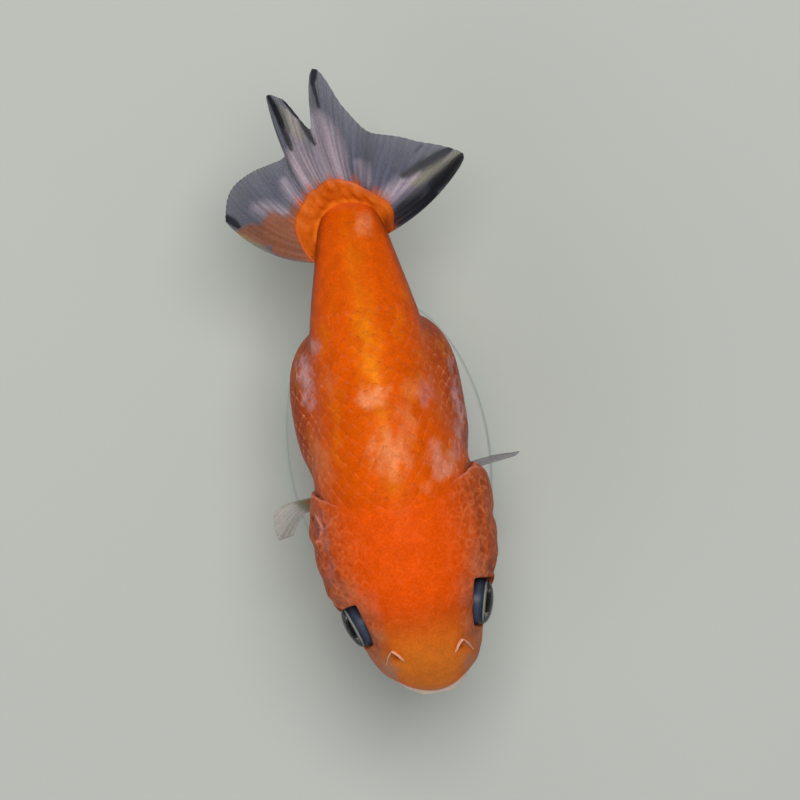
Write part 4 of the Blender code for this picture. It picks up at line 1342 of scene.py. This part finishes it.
def toned(tree, current, *levels):
    """Scales a colour's brightness by levels, each as (value, its low, its high, darkest, lightest)."""
    made = [add(tree, "MapRange", level) for level in levels]
    factor = made[0]
    for level in made[1:]:
        factor = add(tree, "Math", (factor, level), operation="MULTIPLY")
    return add(tree, "HueSaturation", {"Value": factor, "Color": current})


def skin_material(name, details):
    """Moist fish skin: clear slime over orange pigment cells, so it is smooth and faintly glossy.

    details is the function that lays what only skin or only scales show over the shared colours.
    """
    material, tree, where = new_material(name)
    c = colours()
    # Clouds of pigment, and single grains of it.
    mottle = add(tree, "TexNoise", (where, per_metre(2.38), 4.0, 0.6))
    grain = add(tree, "TexNoise", (where, per_metre(0.5), 3.0, 0.7))
    current = layered(tree, rgba(c.back), [
        # Painted shade low on the sides.
        ("flank", c.flank, 0.85),
        ("belly", c.belly, 1.0),
        ("head", c.head, 1.0),
        ("ridge", c.ridge, 0.9),
        # Partly the cheeks' own brown, partly painted shade on the sides of the head.
        ("cheek", c.cheek, 0.9),
        ("snout", c.snout, 0.85),
        ("tan", c.tan, 0.9),
        ("peach", c.peach, 0.85),
        ("lilac", c.lilac, 0.8),
    ])
    current = details(tree, current, mottle)
    base = toned(tree, current, (grain, 0.3, 0.7, 0.86, 1.12), (mottle, 0.3, 0.7, 0.9, 1.08))
    bump = add(tree, "Bump", {"Height": grain, "Strength": 0.15, "Distance": 0.0002})
    set_surface(tree, base, Normal=bump, Roughness=0.42, IOR=WET_TISSUE_IOR, Specular_IOR_Level=0.06)
    return material


def scale_details(tree, current, mottle):
    """Pale rear edges on the scales of the sides, pearly flecks, pores along the lateral line, painted shadow
    behind the gill covers and no two alike.
    """
    rear = add(tree, "MapRange", ("edge", 0.78, 0.98))
    patchy = add(tree, "MapRange", (mottle, 0.36, 0.56))
    sides = add(tree, "MapRange", ("shoulder", 0.0, 1.0, 0.18))
    current = layered(tree, current, [
        ("lilac", patchy, "#DDB4B8", 0.5),
        (rear, patchy, sides, colours().net, 1.0),
        ("pore", "#7A2E0E", 0.5),
        # Painted shadow behind the gill covers.
        ("crease", "#5A1C0C", 0.85),
    ])
    return toned(tree, current, ("shade", 0.0, 1.0, 0.94, 1.06))


def head_details(tree, current, mottle):
    """Net and folds of the head growth, lips, mouth, nostrils, sockets and the collar of the tail, with
    painted shade in grooves, hollows, pits, mouth, nostril pits, sockets and under the gill covers, and
    painted highlights on crests, the gill covers' edges and the collar's fillet.
    """
    c = colours()
    patchy = add(tree, "MapRange", (mottle, 0.38, 0.6, 0.15))
    where = add(tree, "TexCoord").outputs["Object"]
    warped = add(tree, "Mix", (0.0012, where, mottle.outputs["Color"]), data_type="VECTOR")
    # Pale grains of the crown's skin.
    spots = add(tree, "TexVoronoi", (warped, per_metre(0.69)))
    dot = add(tree, "MapRange", (spots, 0.42, 0.12))
    # Fine net of pale skin on the cheeks, its meshes taller than long.
    tall = add(tree, "VectorMath", (warped, (1.0, 1.0, 0.6)), operation="MULTIPLY")
    mesh = add(tree, "TexVoronoi", (tall, per_metre(1.43)), feature="DISTANCE_TO_EDGE")
    line = add(tree, "MapRange", (mesh, 0.14, 0.03))
    heart = add(tree, "MapRange", (mesh, 0.2, 0.42))
    return layered(tree, current, [
        # Painted shade in the head's grooves and along the open gill edge, darker between and in front of the
        # eyes.
        ("fold", "#6E2412", 0.35),
        # Painted shade in the hollows between the folds.
        ("hollow", "#8A3C28", 0.2),
        (heart, "growth", "#84300E", 0.35),
        (line, "growth", patchy, c.net, 0.38),
        # Pits: partly mauve skin, partly painted shade.
        ("pit", "#6C2622", 0.75),
        # Crests: partly pale pink skin, partly painted highlight.
        ("crest", "#E89A88", 0.7),
        (dot, "head", "#F08A4C", 0.1),
        ("net", "growth", patchy, c.net, 0.4),
        ("collar", c.collar, 0.85),
        ("rib", "#EE8A3C", 0.28),
        # Painted light on the fillet at the collar's root.
        ("dip", "#F0801E", 0.6),
        # Painted highlight along the gill covers' rear edges, and a pale line near the collar's outer edge.
        ("rim", "#E2957E", 0.6),
        ("lip", c.lip, 1.0),
        ("flap", "#F0BE9E", 0.95),
        # Painted shade in the mouth's slit.
        ("mouth", "#3A1512", 0.95),
        # Painted shade in the nostril pits.
        ("nostril", "#6B2408", 0.5),
        # Painted shade round the eyes.
        ("socket", "#3A2018", 0.85),
        # Painted shadow under and behind the gill covers, and beside the stalk's lower end.
        ("crease", "#6A1E0C", 0.8),
    ])


def fin_material():
    """Fin skin: a clear wet membrane over pale bony rays, with orange flesh at its root."""
    material, tree, where = new_material("fin membrane on bony rays")
    c = colours()
    # Grains of pigment.
    grain = add(tree, "TexNoise", (where, per_metre(0.5), 4.0, 0.75))
    rays = add(tree, "MapRange", ("ridge_of_ray", 0.0, 1.0, 0.0, 0.75))
    current = layered(tree, rgba(c.web), [
        (rays, c.ray, 0.5),
        ("pale", c.root, 0.85),
        ("white", "#C8CABE", 0.9),
        ("rust", c.rust, 0.85),
        ("olive", c.olive, 0.8),
        ("orange", c.collar, 1.0),
        # Black pigment, with one stroke of painted shade between two lobes.
        ("streak", c.streak, 0.96),
    ])
    base = toned(tree, current, (grain, 0.3, 0.7, 0.78, 1.16), ("tone", 0.0, 1.0, 0.74, 1.26))
    # Clear towards the tips and between the rays, and dense where flesh or pigment fills it.
    thin = add(tree, "MapRange", ("clear", 0.0, 1.0, 0.9, 0.55))
    ribbed = add(tree, "MapRange", ("ridge_of_ray", 0.0, 1.0, 0.85, 1.1))
    alpha = add(tree, "Math", (thin, ribbed), operation="MULTIPLY")
    for filled in ("orange", "streak", "rust"):
        alpha = add(tree, "Math", (alpha, filled), operation="MAXIMUM", use_clamp=True)
    set_surface(tree, base, Alpha=alpha, Roughness=0.4, IOR=WET_TISSUE_IOR, Specular_IOR_Level=0.15)
    return material


def eye_material():
    """Eyeball under clear skin: slate wall, silver iris and a black lens, all wet and glossy."""
    material, tree, where = new_material("eyeball with silver iris")
    half = add(tree, "Math", ("zone", 0.5), operation="MULTIPLY")
    ramp = add(tree, "ValToRGB", (half,))
    silver, wall = colours().iris, colours().eye_wall
    lens = (0.003, 0.003, 0.004)
    # The lighter blue grey stop at 0.88 is a painted highlight along the middle of the eye wall.
    stops = ((0.0, lens), (0.16, lens), (0.2, "#A08A5A"), (0.27, "#8A7C5C"), (0.36, "#54524E"),
             (0.5, "#34363C"), (0.56, "#2A2C34"), (0.61, silver), (0.74, silver), (0.79, "#1C1F28"),
             (0.88, "#3C4558"), (0.96, wall))
    elements = ramp.color_ramp.elements
    while len(elements) < len(stops):
        elements.new(0.5)
    for element, (at, value) in zip(elements, stops):
        element.position = at
        element.color = rgba(value)
    # Flecks of guanine.
    fleck = add(tree, "TexNoise", (where, per_metre(0.333), 3.0))
    base = toned(tree, ramp, (fleck, 0.0, 1.0, 0.75, 1.25))
    set_surface(tree, base, Roughness=0.35, Specular_IOR_Level=0.2)
    return material


def cornea_material():
    """Living cornea: clear as water in front, and smoky at its outline, where the dark eye shows through."""
    material, tree, _ = new_material("clear cornea")
    facing = add(tree, "LayerWeight", (0.5,)).outputs["Facing"]
    alpha = add(tree, "MapRange", (facing, 0.3, 0.9, 0.03, 0.8))
    set_surface(tree, rgba("#15181A"), Alpha=alpha, Roughness=0.06, IOR=1.376, Specular_IOR_Level=0.15)
    return material


def coating_material():
    """Powder coated steel: matt, with the fine pebbles of baked powder."""
    material, tree, where = new_material("powder coated steel")
    pebble = add(tree, "TexNoise", (where, per_metre(0.4545), 2.0))
    bump = add(tree, "Bump", {"Height": pebble, "Strength": 0.25, "Distance": 0.0001})
    set_surface(tree, rgba(colours().stand), Normal=bump, Roughness=0.5)
    return material


def steel_material():
    """Stainless steel from the lathe: bright, with fine turning lines round it."""
    material, tree, where = new_material("turned stainless steel")
    lathe = (per_metre(25), per_metre(25), per_metre(0.111))
    stretched = add(tree, "Mapping", {"Vector": where, "Scale": lathe})
    lines = add(tree, "TexNoise", (stretched, 1.0, 2.0))
    rough = add(tree, "MapRange", (lines, 0.0, 1.0, 0.2, 0.4))
    set_surface(tree, rgba("#C4C5C6"), Roughness=rough, Metallic=1.0)
    return material


def floor_material():
    """Matt wall paint, hardly clouded, so that it shows as one quiet tone."""
    material, tree, where = new_material("matt painted floor")
    clouds = add(tree, "TexNoise", (where, per_metre(166.7), 3.0))
    base = toned(tree, rgba(colours().floor), (clouds, 0.0, 1.0, 0.97, 1.03))
    set_surface(tree, base, Roughness=0.8)
    return material


# ---- stage ----

# Each lamp's place, size and power, in metres and watts.
LAMPS = {
    "key_light": ((0.08, 0.16, 0.87), 0.4, 4.8),
    "fill_light": ((-0.5, -0.3, 0.7), 0.6, 1.1),
    "tail_light": ((-0.1, 0.7, 0.5), 0.5, 0.7),
}
LAMP_AIM = (0.0, 0.005, 0.05)
SKY_COLOUR, SKY_STRENGTH = (0.92, 0.95, 1.0, 1.0), 0.29
FLOOR_REACH = 3.0
# Height over the fish's axis and width of the view there, in metres, and the view's turn. Its middle is in
# the fish's own frame.
CAMERA_DISTANCE, CAMERA_SEES, CAMERA_ROLL = 0.8, 0.1507, math.radians(9.8)
VIEW_MIDDLE = (3.9, 55.7, 0.0)


def build_floor(scene):
    """Wide plain floor under the stand."""
    mesh = bpy.data.meshes.new("studio_floor")
    corners = [(x * FLOOR_REACH, y * FLOOR_REACH, 0) for x, y in ((-1, -1), (1, -1), (1, 1), (-1, 1))]
    mesh.from_pydata(corners, [], [(0, 1, 2, 3)])
    mesh.materials.append(floor_material())
    floor = bpy.data.objects.new("studio_floor", mesh)
    scene.collection.objects.link(floor)


def light_scene(scene):
    """Three soft lamps in an even, slightly blue surrounding light."""
    for name, (at, size, power) in LAMPS.items():
        data = bpy.data.lights.new(name, "AREA")
        data.energy, data.size = power, size
        lamp = bpy.data.objects.new(name, data)
        scene.collection.objects.link(lamp)
        lamp.location = at
        aim = Vector(LAMP_AIM) - lamp.location
        lamp.rotation_euler = aim.to_track_quat("-Z", "Y").to_euler()
    scene.world = bpy.data.worlds.new("studio")
    scene.world.use_nodes = True
    sky = scene.world.node_tree.nodes["Background"]
    sky.inputs["Color"].default_value = SKY_COLOUR
    sky.inputs["Strength"].default_value = SKY_STRENGTH
    scene.view_settings.view_transform = "Standard"


def set_camera(scene):
    """Camera straight above the fish, with its head towards the lower edge of the view."""
    data = bpy.data.cameras.new("camera")
    data.lens = data.sensor_width * CAMERA_DISTANCE / CAMERA_SEES
    data.clip_start = 0.01
    camera = bpy.data.objects.new("camera", data)
    scene.collection.objects.link(camera)
    camera.location = place(VIEW_MIDDLE) + (0, 0, CAMERA_DISTANCE)
    camera.rotation_euler = (0, 0, -CAMERA_ROLL)
    scene.camera = camera


# ---- operators ----

FLESH = ("head", "lower_jaw", "gill_cover_left", "gill_cover_right", "trunk", "tail_stalk", "tail_base",
         "nostril_flap_left", "nostril_flap_right")
TAIL_NODES = ("tail_lobe_right_outer", "tail_lobe_right_inner", "tail_lobe_left_inner",
              "tail_lobe_left_outer")


class GOLDFISH_OT_skin(bpy.types.Operator):
    """Builds the one skin of head, gill covers, trunk and tail stalk"""

    bl_idname = "goldfish.skin"
    bl_label = "Skin"

    def execute(self, context):
        finish_piece(build_skin(), skin_material("moist orange skin", head_details), "skin", *FLESH)
        return {"FINISHED"}


class GOLDFISH_OT_scales(bpy.types.Operator):
    """Lays the overlapping scales over trunk and tail stalk"""

    bl_idname = "goldfish.scales"
    bl_label = "Scales"

    def execute(self, context):
        material = skin_material("scales under clear slime", scale_details)
        for coat in build_scales():
            finish_piece(coat, material, "skin")
        return {"FINISHED"}


class GOLDFISH_OT_fins(bpy.types.Operator):
    """Builds the double tail and the paired fins"""

    bl_idname = "goldfish.fins"
    bl_label = "Fins"

    def execute(self, context):
        material = fin_material()
        finish_piece(build_tail_fan(), material, "fin_membrane", *TAIL_NODES)
        for fin, node in build_small_fins():
            finish_piece(fin, material, "fin_membrane", node)
        return {"FINISHED"}


class GOLDFISH_OT_eyes(bpy.types.Operator):
    """Builds both eyes under their clear corneas"""

    bl_idname = "goldfish.eyes"
    bl_label = "Eyes"

    def execute(self, context):
        ball_material, clear = eye_material(), cornea_material()
        for ball, cap, node in build_eyes():
            finish_piece(ball, ball_material, "eye", node)
            finish_piece(cap, clear, "eye")
        return {"FINISHED"}


class GOLDFISH_OT_stand(bpy.types.Operator):
    """Builds the base, collar and rod of the stand"""

    bl_idname = "goldfish.stand"
    bl_label = "Stand"

    def execute(self, context):
        steel = steel_material()
        base, collar, rod = build_stand()
        finish_piece(base, coating_material(), "stand_coating", "stand_base")
        finish_piece(collar, steel, "stand_steel", "stand_collar")
        finish_piece(rod, steel, "stand_steel", "stand_rod")
        return {"FINISHED"}


class GOLDFISH_OT_stage(bpy.types.Operator):
    """Adds the studio floor, lights and camera"""

    bl_idname = "goldfish.stage"
    bl_label = "Stage"

    def execute(self, context):
        build_floor(context.scene)
        light_scene(context.scene)
        set_camera(context.scene)
        return {"FINISHED"}


class GOLDFISH_PT_panel(bpy.types.Panel):
    """Lists the goldfish's colours, sizes and parts"""

    bl_idname = "GOLDFISH_PT_panel"
    bl_label = "Goldfish"
    bl_space_type = "VIEW_3D"
    bl_region_type = "UI"
    bl_category = "Goldfish"

    def draw(self, context):
        for operator in OPERATORS:
            self.layout.operator(operator.bl_idname)
        for group in (context.scene.goldfish_colours, context.scene.goldfish_sizes):
            for key in group.__annotations__:
                self.layout.prop(group, key)


OPERATORS = (GOLDFISH_OT_skin, GOLDFISH_OT_scales, GOLDFISH_OT_fins, GOLDFISH_OT_eyes, GOLDFISH_OT_stand,
             GOLDFISH_OT_stage)
CLASSES = (GoldfishColours, GoldfishSizes, *OPERATORS, GOLDFISH_PT_panel)


def register():
    for cls in CLASSES:
        bpy.utils.register_class(cls)
    bpy.types.Scene.goldfish_colours = bpy.props.PointerProperty(type=GoldfishColours)
    bpy.types.Scene.goldfish_sizes = bpy.props.PointerProperty(type=GoldfishSizes)


def unregister():
    del bpy.types.Scene.goldfish_sizes
    del bpy.types.Scene.goldfish_colours
    for cls in reversed(CLASSES):
        bpy.utils.unregister_class(cls)


def main():
    register()
    for name in ("skin", "scales", "fins", "eyes", "stand", "stage"):
        getattr(bpy.ops.goldfish, name)()
    bpy.context.view_layer.update()


if __name__ == "__main__":
    main()
